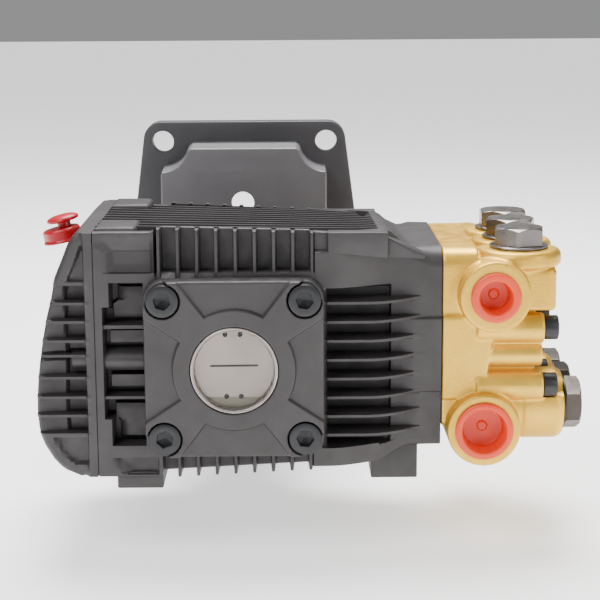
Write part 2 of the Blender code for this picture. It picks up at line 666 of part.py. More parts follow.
def build_manifold(brass, cap, screw, steel, seal, orange):
    manifold(brass)
    for index in range(3):
        delivery_cap(index, cap)
        suction_cap(index, cap)
        delivery_valve(index, steel)
        suction_valve(index, steel)
        ring(f"packing_{index + 1}", seal, "X", PLUNGERS[index], 0.0, 7.65, 10.9, 83.2, 94.6, 14, False)
    number = 0
    for y in SCREW_Y:
        for z in (12.0, -12.0):
            number += 1
            socket_screw(f"head_screw_{number}", screw, "X", y, z, 125.7, 1, 5.0, 5.6, 3.0, 55.5, 5.0, 8)
    port_plug("outlet_plug", orange, OUTLET, 10.2, 7.8, 6.3)
    port_plug("inlet_plug", orange, INLET, 11.9, 9.8, 8.6)
    far_plug("far_outlet_plug", brass, OUTLET, 13.6, 7.8, 62.0)
    far_plug("far_inlet_plug", brass, INLET, 13.6, 9.8, 48.0)


def main():
    alu = cast_aluminium()
    brass = forged_brass()
    cap = plated_steel()
    screw = black_screw_steel()
    steel = machined_steel()
    seal = rubber()
    build_casing(alu, steel, screw, seal, clear_plastic())
    build_crank_train(steel, alu, seal)
    build_manifold(brass, cap, screw, steel, seal, orange_plastic())
    oil_cap(red_plastic())
    total = 0
    for obj in bpy.context.scene.objects:
        total += len(obj.data.polygons)
    print("nodes", len(bpy.context.scene.objects), "triangles", total)


main()
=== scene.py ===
import json
import math

import bmesh
import bpy
import numpy as np
from mathutils import Matrix, Vector


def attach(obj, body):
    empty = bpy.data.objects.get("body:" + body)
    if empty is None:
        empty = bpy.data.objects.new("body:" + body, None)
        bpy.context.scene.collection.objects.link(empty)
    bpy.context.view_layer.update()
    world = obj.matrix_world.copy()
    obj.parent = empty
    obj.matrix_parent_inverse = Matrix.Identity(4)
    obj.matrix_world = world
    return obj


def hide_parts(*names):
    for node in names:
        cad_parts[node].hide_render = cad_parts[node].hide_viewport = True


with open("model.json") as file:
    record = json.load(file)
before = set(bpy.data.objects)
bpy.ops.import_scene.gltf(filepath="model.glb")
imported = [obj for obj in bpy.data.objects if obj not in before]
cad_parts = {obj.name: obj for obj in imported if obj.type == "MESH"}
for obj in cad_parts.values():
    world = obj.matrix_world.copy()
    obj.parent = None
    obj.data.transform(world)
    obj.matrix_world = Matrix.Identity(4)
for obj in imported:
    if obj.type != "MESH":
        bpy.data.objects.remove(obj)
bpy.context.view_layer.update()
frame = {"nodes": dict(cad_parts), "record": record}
print("frame loaded:", len(frame["nodes"]), "nodes")

# every shape below is drawn in millimetres with its zero on the crank axis at the middle plunger
drawingZero = np.array([-0.0300, -0.0445, 0.08198])
pumpBody = "pump_body"


# ---------- finishes ----------
def newMaterial(name, colour, roughness, metallic=0.0):
    mat = bpy.data.materials.new(name)
    mat.use_nodes = True
    shader = mat.node_tree.nodes["Principled BSDF"]
    shader.inputs["Base Color"].default_value = (*colour, 1.0)
    shader.inputs["Roughness"].default_value = roughness
    shader.inputs["Metallic"].default_value = metallic
    return mat, mat.node_tree, shader


def noiseField(tree, scale, detail=4.0):
    coords = tree.nodes.new("ShaderNodeTexCoord")
    noise = tree.nodes.new("ShaderNodeTexNoise")
    noise.inputs["Scale"].default_value = scale
    noise.inputs["Detail"].default_value = detail
    tree.links.new(coords.outputs["Object"], noise.inputs["Vector"])
    return noise.outputs["Fac"]


def rampOf(tree, field, stops):
    ramp = tree.nodes.new("ShaderNodeValToRGB")
    while len(ramp.color_ramp.elements) < len(stops):
        ramp.color_ramp.elements.new(0.5)
    for element, (place, colour) in zip(ramp.color_ramp.elements, stops):
        element.position = place
        element.color = (*colour, 1.0)
    tree.links.new(field, ramp.inputs["Fac"])
    return ramp.outputs["Color"]


def bumpOf(tree, shader, field, strength, distance):
    bump = tree.nodes.new("ShaderNodeBump")
    bump.inputs["Strength"].default_value = strength
    bump.inputs["Distance"].default_value = distance
    tree.links.new(field, bump.inputs["Height"])
    tree.links.new(bump.outputs["Normal"], shader.inputs["Normal"])


def grained(name, dark, light, roughness, metallic, grain, strength, spread=0.08):
    # colour drifts slowly between two tones, roughness a little faster, the surface has a fine grain
    cloud = 30.0
    mat, tree, shader = newMaterial(name, light, roughness, metallic)
    slow = noiseField(tree, cloud, 5.0)
    tree.links.new(rampOf(tree, slow, [(0.32, dark), (0.68, light)]), shader.inputs["Base Color"])
    quick = noiseField(tree, cloud * 6.0, 4.0)
    low, high = roughness - spread, roughness + spread
    tree.links.new(rampOf(tree, quick, [(0.3, (low,) * 3), (0.7, (high,) * 3)]), shader.inputs["Roughness"])
    bumpOf(tree, shader, noiseField(tree, grain, 3.0), strength, 0.0002)
    return mat


castGrey = grained("castGrey", (0.033, 0.0295, 0.030), (0.046, 0.0415, 0.0425), 0.50, 0.25, 1500.0, 0.30)
# painted light and shade: the engine flange's bell gets a lighter grey and its plate a darker copy of the
# same grey
litBellGrey = grained("litBellGrey", (0.118, 0.113, 0.119), (0.134, 0.129, 0.135), 0.50, 0.25, 1500.0, 0.25)
shadedPlateGrey = grained("shadedPlateGrey", (0.050, 0.048, 0.052), (0.064, 0.0615, 0.067), 0.50, 0.25, 1500.0, 0.25)
forgedBrass = grained("forgedBrass", (0.68, 0.40, 0.040), (0.82, 0.51, 0.072), 0.44, 0.80, 1100.0, 0.6)
platedSteel = grained("platedSteel", (0.17, 0.155, 0.145), (0.27, 0.25, 0.235), 0.30, 0.90, 900.0, 0.15)
dullSteel = grained("dullSteel", (0.045, 0.037, 0.031), (0.075, 0.064, 0.056), 0.38, 0.80, 900.0, 0.15)
blackOxide = grained("blackOxide", (0.013, 0.0132, 0.0145), (0.021, 0.0215, 0.024), 0.40, 0.3, 1200.0, 0.15)
groundSteel = grained("groundSteel", (0.44, 0.43, 0.42), (0.56, 0.55, 0.54), 0.30, 1.0, 700.0, 0.10)
gasketRubber = grained("gasketRubber", (0.016, 0.016, 0.016), (0.028, 0.028, 0.028), 0.68, 0.0, 900.0, 0.15)
orangePlastic = grained("orangePlastic", (0.70, 0.042, 0.006), (0.78, 0.058, 0.010), 0.42, 0.0, 500.0, 0.08,
                        0.05)
redPlastic = grained("redPlastic", (0.36, 0.001, 0.006), (0.44, 0.002, 0.009), 0.32, 0.0, 500.0, 0.06, 0.05)
silverDisc = grained("silverDisc", (0.33, 0.29, 0.268), (0.40, 0.353, 0.33), 0.45, 0.45, 900.0, 0.12)
ringSilver = grained("ringSilver", (0.36, 0.315, 0.29), (0.43, 0.38, 0.355), 0.30, 0.75, 900.0, 0.10)
# near-black for the sight plate's marks: a dark level line, and painted shade where its small holes are
darkMarksAndHoleShade = grained("darkMarksAndHoleShade", (0.010, 0.010, 0.011), (0.020, 0.020, 0.021), 0.7, 0.0, 800.0, 0.1)
gearOil = grained("gearOil", (0.17, 0.165, 0.12), (0.25, 0.24, 0.17), 0.22, 0.0, 400.0, 0.02, 0.03)


def paintShadeInHollows(mat, strength):
    # painted shade: the deeper a pocket, the darker the casting's colour, standing in for the shade that
    # falls in hollows; the hollow attribute runs from 0 to 1
    tree = mat.node_tree
    shader = tree.nodes["Principled BSDF"]
    source = shader.inputs["Base Color"].links[0].from_socket
    depth = tree.nodes.new("ShaderNodeAttribute")
    depth.attribute_name = "hollow"
    keep = tree.nodes.new("ShaderNodeMath")
    keep.operation = "MULTIPLY_ADD"
    keep.inputs[1].default_value, keep.inputs[2].default_value = -strength, 1.0
    mix = tree.nodes.new("ShaderNodeVectorMath")
    mix.operation = "SCALE"
    tree.links.new(depth.outputs["Fac"], keep.inputs[0])
    tree.links.new(source, mix.inputs[0])
    tree.links.new(keep.outputs[0], mix.inputs["Scale"])
    tree.links.new(mix.outputs["Vector"], shader.inputs["Base Color"])


# painted shade: the cast grey is darkened in its pockets and grooves
paintShadeInHollows(castGrey, 0.1)


def clearPlastic():
    mat, tree, shader = newMaterial("clearPlastic", (0.97, 0.96, 0.94), 0.05)
    shader.inputs["Transmission Weight"].default_value = 1.0
    shader.inputs["IOR"].default_value = 1.2
    tint = rampOf(tree, noiseField(tree, 60.0), [(0.3, (0.95, 0.94, 0.92)), (0.7, (0.99, 0.98, 0.97))])
    tree.links.new(tint, shader.inputs["Base Color"])
    return mat


windowPlastic = clearPlastic()
print("finishes ready")


# ---------- surface tools ----------
def gridFaces(rows, cols, wrapRows, wrapCols):
    # quads between neighbouring points of a rows by cols grid, numbered row by row
    r = np.arange(rows if wrapRows else rows - 1)[:, None]
    c = np.arange(cols if wrapCols else cols - 1)[None, :]
    r2, c2 = (r + 1) % rows, (c + 1) % cols
    quads = np.stack([r * cols + c, r * cols + c2, r2 * cols + c2, r2 * cols + c], axis=-1)
    return quads.reshape(-1, 4).tolist()


def joinShells(shells):
    points, faces, count = [], [], 0
    for shellPoints, shellFaces in shells:
        points.append(np.asarray(shellPoints, float))
        faces += [[i + count for i in face] for face in shellFaces]
        count += len(shellPoints)
    return np.vstack(points), faces


def onAxis(axis, u, v, along):
    parts = {"X": (along, u, v), "Y": (u, along, v), "Z": (u, v, along)}[axis]
    return np.stack(np.broadcast_arrays(*parts), axis=-1).reshape(-1, 3)


def rounded(points, radius, steps=4, closed=False):
    # each corner becomes a short curve: a blend of its two shoulders pulled towards the corner
    pts = np.asarray(points, float)
    n = len(pts)
    radii = np.broadcast_to(radius, (n,))
    t = np.linspace(0.0, 1.0, steps + 1)[:, None]
    out = []
    for i in range(n):
        if not closed and i in (0, n - 1) or radii[i] <= 0.0:
            out.append(pts[i:i + 1])
            continue
        before, here, after = pts[i - 1], pts[i], pts[(i + 1) % n]
        toBefore, toAfter = before - here, after - here
        lb, la = np.linalg.norm(toBefore), np.linalg.norm(toAfter)
        cut = min(radii[i], lb * 0.49, la * 0.49)
        a, b = here + toBefore / lb * cut, here + toAfter / la * cut
        out.append((1 - t) ** 2 * a + 2 * t * (1 - t) * here + t ** 2 * b)
    return np.vstack(out)


def turned(axis, centre, profile, around=72, reach=None):
    # a profile of radius and distance along the axis, carried round it; reach scales the radius by angle
    profile = np.asarray(profile, float)
    angle = np.linspace(0.0, 2.0 * math.pi, around, endpoint=False)
    radius = profile[:, :1] * np.ones_like(angle)
    if reach is not None:
        radius = reach(radius, angle[None, :])
    u = centre[0] + radius * np.cos(angle)
    v = centre[1] + radius * np.sin(angle)
    points = onAxis(axis, u, v, profile[:, 1:] * np.ones_like(angle))
    rows = len(profile)
    closedRing = abs(profile[0] - profile[-1]).max() < 1e-9
    if closedRing:
        rows -= 1
        points = points[:rows * around]
    faces = gridFaces(rows, around, closedRing, True)
    if not closedRing:
        for row in (0, rows - 1):
            if profile[row, 0] > 1e-6:
                faces.append(list(range(row * around, (row + 1) * around)))
    return points, faces


def unit(vectors):
    return vectors / np.maximum(np.linalg.norm(vectors, axis=1, keepdims=True), 1e-9)


def insetOutline(outline, amount):
    # moves every point of a closed outline along the mean of its two edge normals
    ahead = np.roll(outline, -1, axis=0) - outline
    behind = outline - np.roll(outline, 1, axis=0)
    mean = unit(ahead) + unit(behind)
    normal = unit(np.stack([-mean[:, 1], mean[:, 0]], axis=1))
    area = np.sum(outline[:, 0] * np.roll(outline[:, 1], -1) - np.roll(outline[:, 0], -1) * outline[:, 1])
    return outline + normal * amount * (1.0 if area > 0 else -1.0)


def stacked(axis, outline, steps):
    # a closed outline carried along the axis; each step says how far it is drawn in, and where
    outline = np.asarray(outline, float)
    rings = []
    for inset, along in steps:
        ring = insetOutline(outline, inset)
        rings.append(onAxis(axis, ring[:, 0], ring[:, 1], along))
    points = np.vstack(rings)
    n = len(outline)
    faces = gridFaces(len(steps), n, False, True)
    faces += [list(range(n)), list(range((len(steps) - 1) * n, len(steps) * n))]
    return points, faces


def edgeSteps(low, high, radius, count=3):
    # drawn-in amounts for a block with rounded rims at both ends
    t = np.linspace(0.0, math.pi / 2, count + 1)
    inset, rise = radius * (1 - np.sin(t)), radius * (1 - np.cos(t))
    lower = [(a, low + b) for a, b in zip(inset, rise)]
    upper = [(a, high - b) for a, b in zip(inset[::-1], rise[::-1])]
    return lower + upper


def softBlock(x0, x1, y0, y1, z0, z1, corner, rim):
    outline = rounded([(x0, y0), (x1, y0), (x1, y1), (x0, y1)], corner, 4, True)
    return stacked("Z", outline, edgeSteps(z0, z1, rim))


def shellObject(name, shell, hollow=None):
    # welds a shell into a mesh in metres, with its faces pointing out
    points, faces = shell
    mesh = bpy.data.meshes.new(name)
    mesh.from_pydata((np.asarray(points) * 0.001 + drawingZero).tolist(), [], faces)
    # the painted-shade weight of each point is kept as an attribute for the colour
    if hollow is not None:
        depth = np.zeros(len(points), dtype=np.float32)
        depth[:hollow.size] = hollow.ravel()
        mesh.attributes.new("hollow", "FLOAT", "POINT").data.foreach_set("value", depth)
    bm = bmesh.new()
    bm.from_mesh(mesh)
    bmesh.ops.remove_doubles(bm, verts=bm.verts, dist=0.00001)
    bmesh.ops.recalc_face_normals(bm, faces=bm.faces)
    bm.to_mesh(mesh)
    bm.free()
    obj = bpy.data.objects.new(name, mesh)
    bpy.context.scene.collection.objects.link(obj)
    return obj


def makePiece(name, shell, finish, body=pumpBody, nodes=(), sharp=38.0, hollow=None):
    obj = shellObject(name, shell, hollow)
    obj.data.materials.append(finish)
    obj.data.shade_smooth()
    obj.data.set_sharp_from_angle(angle=math.radians(sharp))
    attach(obj, body)
    if nodes:
        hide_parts(*nodes)
    return obj


def roundShell(axis, centre, rows, angle):
    # rings around an axis: each row is a radius and a place along it, even or given angle by angle
    radius = np.array([r + 0.0 * angle for r, _ in rows])
    along = np.array([a + 0.0 * angle for _, a in rows])
    points = onAxis(axis, centre[0] + radius * np.cos(angle), centre[1] + radius * np.sin(angle), along)
    return points, gridFaces(len(rows), len(angle), False, True)


def ramp(x, edge, soft):
    # rises smoothly from 0 to 1 across an edge
    t = np.clip((x - edge + soft) / (2.0 * soft), 0.0, 1.0)
    return t * t * (3.0 - 2.0 * t)


def band(x, low, high, soft):
    return ramp(x, low, soft) * (1.0 - ramp(x, high, soft))


def featureLines(edges, low, high, soft, gap):
    # grid lines on both sides of every edge, and more where they leave a wide stretch
    lines = [low, high]
    for edge in edges:
        lines += [edge - soft, edge - soft * 0.4, edge + soft * 0.4, edge + soft]
    lines = np.unique(np.round([v for v in lines if low <= v <= high], 3))
    keep = np.concatenate([[True], np.diff(lines) > 0.12])
    lines = lines[keep]
    lines[-1] = high
    filled = [lines[:1]]
    for a, b in zip(lines[:-1], lines[1:]):
        filled.append(np.linspace(a, b, max(1, math.ceil((b - a) / gap)) + 1)[1:])
    return np.concatenate(filled)


def combine(target, shells, how):
    # closed shells are added to or taken from the target one after another
    for number, shell in enumerate(shells):
        tool = shellObject(f"tool{number}", shell)
        step = target.modifiers.new("combine", "BOOLEAN")
        step.operation, step.solver, step.object = how, "EXACT", tool
        result = bpy.data.meshes.new_from_object(target.evaluated_get(bpy.context.evaluated_depsgraph_get()))
        target.modifiers.clear()
        target.data = result
        bpy.data.objects.remove(tool, do_unlink=True)


# ---------- crankcase ----------
case = {
    "rear": -55.45, "front": 83.6, "wall": 51.0, "neck": 40.5,
    "upperFins": -29.7 + 7.6 * np.arange(9), "lowerFins": -22.9 + 7.6 * np.arange(8),
    "levelFins": 25.2 - 7.74 * np.arange(8), "finHalf": 0.85, "soft": 0.32,
    "topRibs": -37.8 + 8.4 * np.arange(10), "ribHalf": 1.2,
}


def finRow(x, centres, half, soft):
    return sum(band(x, c - half, c + half, soft) for c in centres)


def caseWall(x, z):
    # distance of the side wall from the middle plane: a flat seat for the cover, a neck that draws
    # in towards the manifold, grooves between upright fins, and pockets with ribs beside the cover
    c, s = case, case["soft"]
    base = c["wall"] - (c["wall"] - c["neck"]) * ramp(x, 53.5, 15.5)
    level = base + 1.3 * band(z, -13.6, 16.9, 0.5) * ramp(x, 66.0, 3.0)
    upper = band(x, -31.2, 31.9, s) * ramp(z, 37.8, s)
    level = level - upper * (1.0 - finRow(x, c["upperFins"], c["finHalf"], s)) * 7.4
    level = level - 2.2 * band(x, 31.9, 37.2, s) * ramp(z, 45.9, s)
    lower = band(x, -29.3, 31.2, s) * (1.0 - ramp(z, -37.6, s))
    level = level - lower * (1.0 - finRow(x, c["lowerFins"], c["finHalf"], s)) * 7.0
    # pocket beside the cover, towards the manifold, with level fins whose ends curve in
    pocket = band(x, 36.9, 62.8, 0.5) * band(z, -34.2, 30.4, s)
    level = level + (38.4 - level) * pocket
    finOut = c["wall"] - 10.8 * np.clip((x - 53.0) / 21.0, 0.0, 1.0) ** 1.9
    reach = ramp(x, 36.6, 0.3)
    for fin in c["levelFins"]:
        across = band(z, fin - c["finHalf"], fin + c["finHalf"], s) * reach
        level = level + across * np.maximum(finOut - level, 0.0)
    # pocket beside the cover, towards the rear, its outer rim stepped in at both ends
    notch = (1.0 - ramp(x, -49.4, s)) * (ramp(z, 23.6, 0.6) + 1.0 - ramp(z, -21.2, 0.6))
    pocket = band(x, -52.2, -36.3, s) * band(z, -32.6, 33.7, s) * (1.0 - notch)
    floor = 40.8 + 5.0 * band(x, -50.2, -36.0, s) * finRow(z, (11.4, -6.8), 2.7, s)
    for low, high, bend, side in ((18.6, 31.6, 25.4, 1.0), (-30.8, -16.4, -22.8, -1.0)):
        corner = -46.6 - 2.2 * (1.0 - np.clip((z - bend) * side / 1.6 + 0.5, 0.0, 1.0))
        floor = floor + 3.4 * ramp(x, corner, s) * band(z, low, high, 0.5)
    floor = floor + (50.2 - floor) * finRow(z, (16.05, -13.1), 1.05, s)
    bar = np.clip((z - 1.8) / 4.8, -1.0, 1.0)
    floor = np.where(np.abs(z - 1.8) < 4.8, np.maximum(floor, 43.0 + 6.6 * np.sqrt(1.0 - bar * bar)), floor)
    level = level + (floor - level) * pocket
    # panels over and under that pocket: a sunk field with a sloping upper face and a sloping left side
    slope = 0.6 + 1.6 * np.clip((54.0 - z) / 7.7, 0.0, 1.0)
    side = np.clip((x + 51.2 + 0.9 * np.clip(z - 46.3, 0.0, 4.0)) / 3.8, 0.0, 1.0)
    sunk = (slope * ramp(z, 46.3, 0.25) + 3.0 * band(z, 38.0, 46.3, 0.25)) * side
    level = level - sunk * (1.0 - ramp(x, -31.9, 0.4)) * ramp(z, 37.9, 0.3)
    side = np.clip((x + 50.2 - 0.9 * np.clip(-38.2 - z, 0.0, 6.0)) / 3.0, 0.0, 1.0)
    level = level - 2.8 * side * (1.0 - ramp(x, -31.4, 0.4)) * band(z, -44.3, -38.2, 0.5)
    return level


def deckLean(x, y):
    # the deck falls away a little towards the far side
    lean = (2.4 + 0.024 * (x + 38.0)) * (1.0 - ramp(x, 70.0, 6.0))
    return lean * np.clip((y + 40.0) / 88.0, 0.0, 1.0)


def pairs(centres, half):
    return [edge for centre in centres for edge in (centre - half, centre + half)]


def caseShell():
    c, s = case, case["soft"]
    xEdges = pairs(c["upperFins"], c["finHalf"]) + pairs(c["lowerFins"], c["finHalf"])
    xEdges += [-52.2, -50.2, -49.4, -48.2, -46.9, -36.3, -33.4, -31.2, -29.3, 31.9, 37.0, 34.5, 58.0, 62.8]
    xEdges += [66.0]
    x = featureLines(sorted(xEdges), c["rear"], c["front"], s, 3.0)
    zEdges = pairs(c["levelFins"], c["finHalf"])
    zEdges += [33.75, 31.6, 23.6, 18.6, 17.1, 15.0, 14.1, 8.7, 6.6, -3.0, -4.1, -9.5, -12.05, -14.15, -16.4]
    zEdges += [-21.2, -30.8, -32.6, -34.6, 37.8, 45.9, 47.4, -37.6, -38.2, -44.0, 16.9, -13.6, 25.4, -22.8]
    zEdges += np.linspace(-2.6, 6.2, 9).tolist()
    wallLow, wallHigh, keepLow, keepHigh = -45.2, 53.4, -30.0, 34.0
    wallLines = featureLines(sorted(zEdges), wallLow, wallHigh, s, 2.0)
    ribEdges = pairs(c["topRibs"], c["ribHalf"])
    deckEnd, deckKeep = 49.4, 30.0
    deckLines = featureLines(sorted(ribEdges + [-45.2, 45.2]), -deckEnd, deckEnd, 0.3, 3.0)
    corner = np.linspace(0.0, math.pi / 2, 6)[1:-1]

    finTop = np.clip((31.0 - x) / 61.0, 0.0, 1.0) * 1.5 * band(x, -31.4, 31.9, 0.4)
    top = np.interp(x, [-60.0, 31.0, 37.0, 61.0], [54.2, 53.8, 53.5, 53.5])
    top = top + finTop - 8.2 * ramp(x, 66.0, 6.0)
    topRound = 0.8 + 7.0 * ramp(x, 72.0, 11.0)
    bottom = np.interp(x, [-60.0, -31.0, -29.5, 31.0, 33.0, 58.0, 70.0, 82.5],
                       [-45.9, -45.9, -45.2, -42.3, -42.2, -42.2, -36.9, -36.7])
    bottom = bottom - 1.3 * finRow(x, c["lowerFins"], 0.8, 0.3)
    bottomRound = 0.9 + 2.0 * ramp(x, 66.0, 8.0)

    def wallPart(lines, lean):
        # wall lines keep their height except near the rims, which follow the outline
        high = (top - lean - topRound)[:, None]
        low = (bottom + bottomRound)[:, None]
        up = keepHigh + (lines[None, :] - keepHigh) * (high - keepHigh) / (wallHigh - keepHigh)
        down = keepLow + (lines[None, :] - keepLow) * (low - keepLow) / (wallLow - keepLow)
        kept = np.where(lines < keepLow, down, lines[None, :] + 0.0 * x[:, None])
        return np.where(lines > keepHigh, up, kept)

    deckRim = c["wall"] - (c["wall"] - c["neck"]) * ramp(x, 53.5, 15.5) - topRound

    def sidePart(lean):
        z = wallPart(wallLines, lean)
        level = caseWall(x[:, None] + 0.0 * z, z + lean[:, None] * (z > 36.0))
        upY = (level[:, -1] - topRound)[:, None] + topRound[:, None] * np.cos(corner)
        upZ = (top - lean - topRound)[:, None] + topRound[:, None] * np.sin(corner)
        lowY = (level[:, 0] - bottomRound)[:, None] + bottomRound[:, None] * np.cos(corner)
        lowZ = (bottom + bottomRound)[:, None] - bottomRound[:, None] * np.sin(corner)
        return z, level, upY, upZ, lowY, lowZ

    nearZ, level, upY, upZ, lowY, lowZ = sidePart(0.0 * x)
    farZ, farLevel, farUpY, farUpZ, farLowY, farLowZ = sidePart(deckLean(x, 48.0))

    # deck lines: the outer ones slide in with the neck and with the grooves that open at the rim
    size = np.abs(deckLines)[None, :]
    rim = deckRim[:, None]
    slid = deckKeep + (size - deckKeep) * (rim - deckKeep) / (deckEnd - deckKeep)
    deckY = np.where(size > deckKeep, slid, size + 0.0 * rim)
    border = 41.0
    openRim = (level[:, -1] - topRound)[:, None]
    slid = border + (deckY - border) * (openRim - border) / np.maximum(rim - border, 1.0)
    deckY = np.where(deckY > border, slid, deckY)
    deckY = deckY * np.sign(deckLines)[None, :]
    flat = top[:, None]
    ribZ = 55.0 - 0.016 * (x[:, None] + 38.0)
    inside = band(deckLines[None, :], -45.2, 45.2, 0.3) * (1.0 - ramp(x[:, None], 57.0, 1.0))
    deckZ = flat + (ribZ - 4.6 - flat) * inside
    ribEnd = 58.5 - 0.045 * (deckY + 50.0)
    ribs = finRow(deckLines[None, :], c["topRibs"], c["ribHalf"], 0.3) * (1.0 - ramp(x[:, None], ribEnd, 1.0))
    deckZ = deckZ + ribs * (ribZ - deckZ)
    deckZ = deckZ - deckLean(x[:, None], deckY)

    bottomLines = np.linspace(-1.0, 1.0, 9)
    baseY = bottomLines[None, ::-1] * (level[:, 0] - bottomRound)[:, None]
    baseZ = bottom[:, None] + 0.0 * baseY
    ys = [-level, -upY, deckY, farUpY[:, ::-1], farLevel[:, ::-1], farLowY, baseY, -lowY[:, ::-1]]
    zs = [nearZ, upZ, deckZ, farUpZ[:, ::-1], farZ[:, ::-1], farLowZ, baseZ, lowZ[:, ::-1]]
    # painted shade: the further the wall is sunk below its outer level, and the deck between the ribs, the
    # darker its colour
    base = (c["wall"] - (c["wall"] - c["neck"]) * ramp(x, 53.5, 15.5))[:, None]
    deep = np.clip((base - level) / 7.0, 0.0, 1.0)
    farDeep = np.clip((base - farLevel) / 7.0, 0.0, 1.0)
    deckDeep = 0.55 * inside * (1.0 - ribs)
    hollow = np.hstack([deep, deep[:, -1:] + 0.0 * upY, deckDeep, farDeep[:, -1:] + 0.0 * upY,
                        farDeep[:, ::-1], 0.0 * farLowY, 0.0 * baseY, 0.0 * lowY])
    sectionY, sectionZ = np.hstack(ys), np.hstack(zs)
    sectionX = x[:, None] + 0.0 * sectionY
    grid = np.stack([sectionX, sectionY, sectionZ], axis=-1)
    endLow, endHigh = grid[:1].copy(), grid[-1:].copy()
    endLow[..., 1:], endHigh[..., 1:] = 0.0, 0.0
    grid = np.vstack([endLow, grid, endHigh])
    hollow = np.vstack([hollow[:1], hollow, hollow[-1:]])
    rows, cols = grid.shape[:2]
    return (grid.reshape(-1, 3), gridFaces(rows, cols, False, True)), hollow


def caseExtras():
    shells = []
    for side in (-1, 1):
        drop = deckLean(50.0, 48.0) if side > 0 else 0.0
        block = rounded([(37.4, 45.6), (61.2, 43.2), (61.2, 53.5), (37.4, 53.6)], 0.4, 3, True)
        y0, y1 = sorted((side * 43.5, side * 51.1))
        shells.append(stacked("Y", block - [0.0, drop], edgeSteps(y0, y1, 0.35)))
        gusset = rounded([(61.0, 43.3), (75.8, 42.5), (76.0, 44.3), (61.0, 51.3)], 0.3, 3, True)
        y0, y1 = sorted((side * 40.0, side * 49.2))
        shells.append(stacked("Y", gusset - [0.0, drop], edgeSteps(y0, y1, 0.35)))
        # lifting pads on the deck, rounded over and rounded at the end
        y0, y1 = sorted((side * 22.0, side * 45.0))
        pad = rounded([(-55.4, y0), (-38.6, y0), (-38.6, y1), (-55.4, y1)], [0.0, 3.5, 3.5, 0.0], 5, True)
        shells.append(stacked("Z", pad, edgeSteps(48.0, 55.3, 1.8, 5)[4:]))
        y0, y1 = sorted((side * 24.0, side * 50.0))
        shells.append(softBlock(-48.3, -29.6, y0, y1, -51.0, -44.0, 1.0, 0.5))
        y0, y1 = sorted((side * 14.0, side * 38.4))
        shells.append(softBlock(55.2, 74.4, y0, y1, -51.0, -35.0, 1.0, 0.5))
    return shells


caseGrid, casePaintedShade = caseShell()
crankcase = makePiece("crankcaseCasting", joinShells([caseGrid] + caseExtras()), castGrey,
                      nodes=["crankcase"], hollow=casePaintedShade)
print("crankcase:", len(crankcase.data.polygons), "faces")


# ---------- rear cover ----------
rear = {
    "face": -55.85, "rimEdge": -59.6, "rim": 51.0, "finTop": 49.9, "floor": 43.5,
    "fins": (33.4, 25.5, 18.0, 10.2, 3.9, -4.8, -12.9, -20.5, -28.3), "finHalf": 0.85,
    "screws": [(y, z) for z in (40.6, -36.2) for y in (-41.8, 41.8)],
    "outline": [(-61.0, 53.9), (-62.8, 53.1), (-65.0, 50.9), (-68.3, 42.9), (-71.6, 35.1), (-73.0, 27.4),
                (-75.0, 20.1), (-76.9, 10.8), (-78.2, 3.0), (-79.1, -4.0), (-79.8, -11.2), (-80.1, -18.7),
                (-79.5, -27.0), (-77.3, -32.9), (-73.8, -38.8), (-70.3, -42.6), (-66.7, -44.8),
                (-61.0, -45.8)],
}


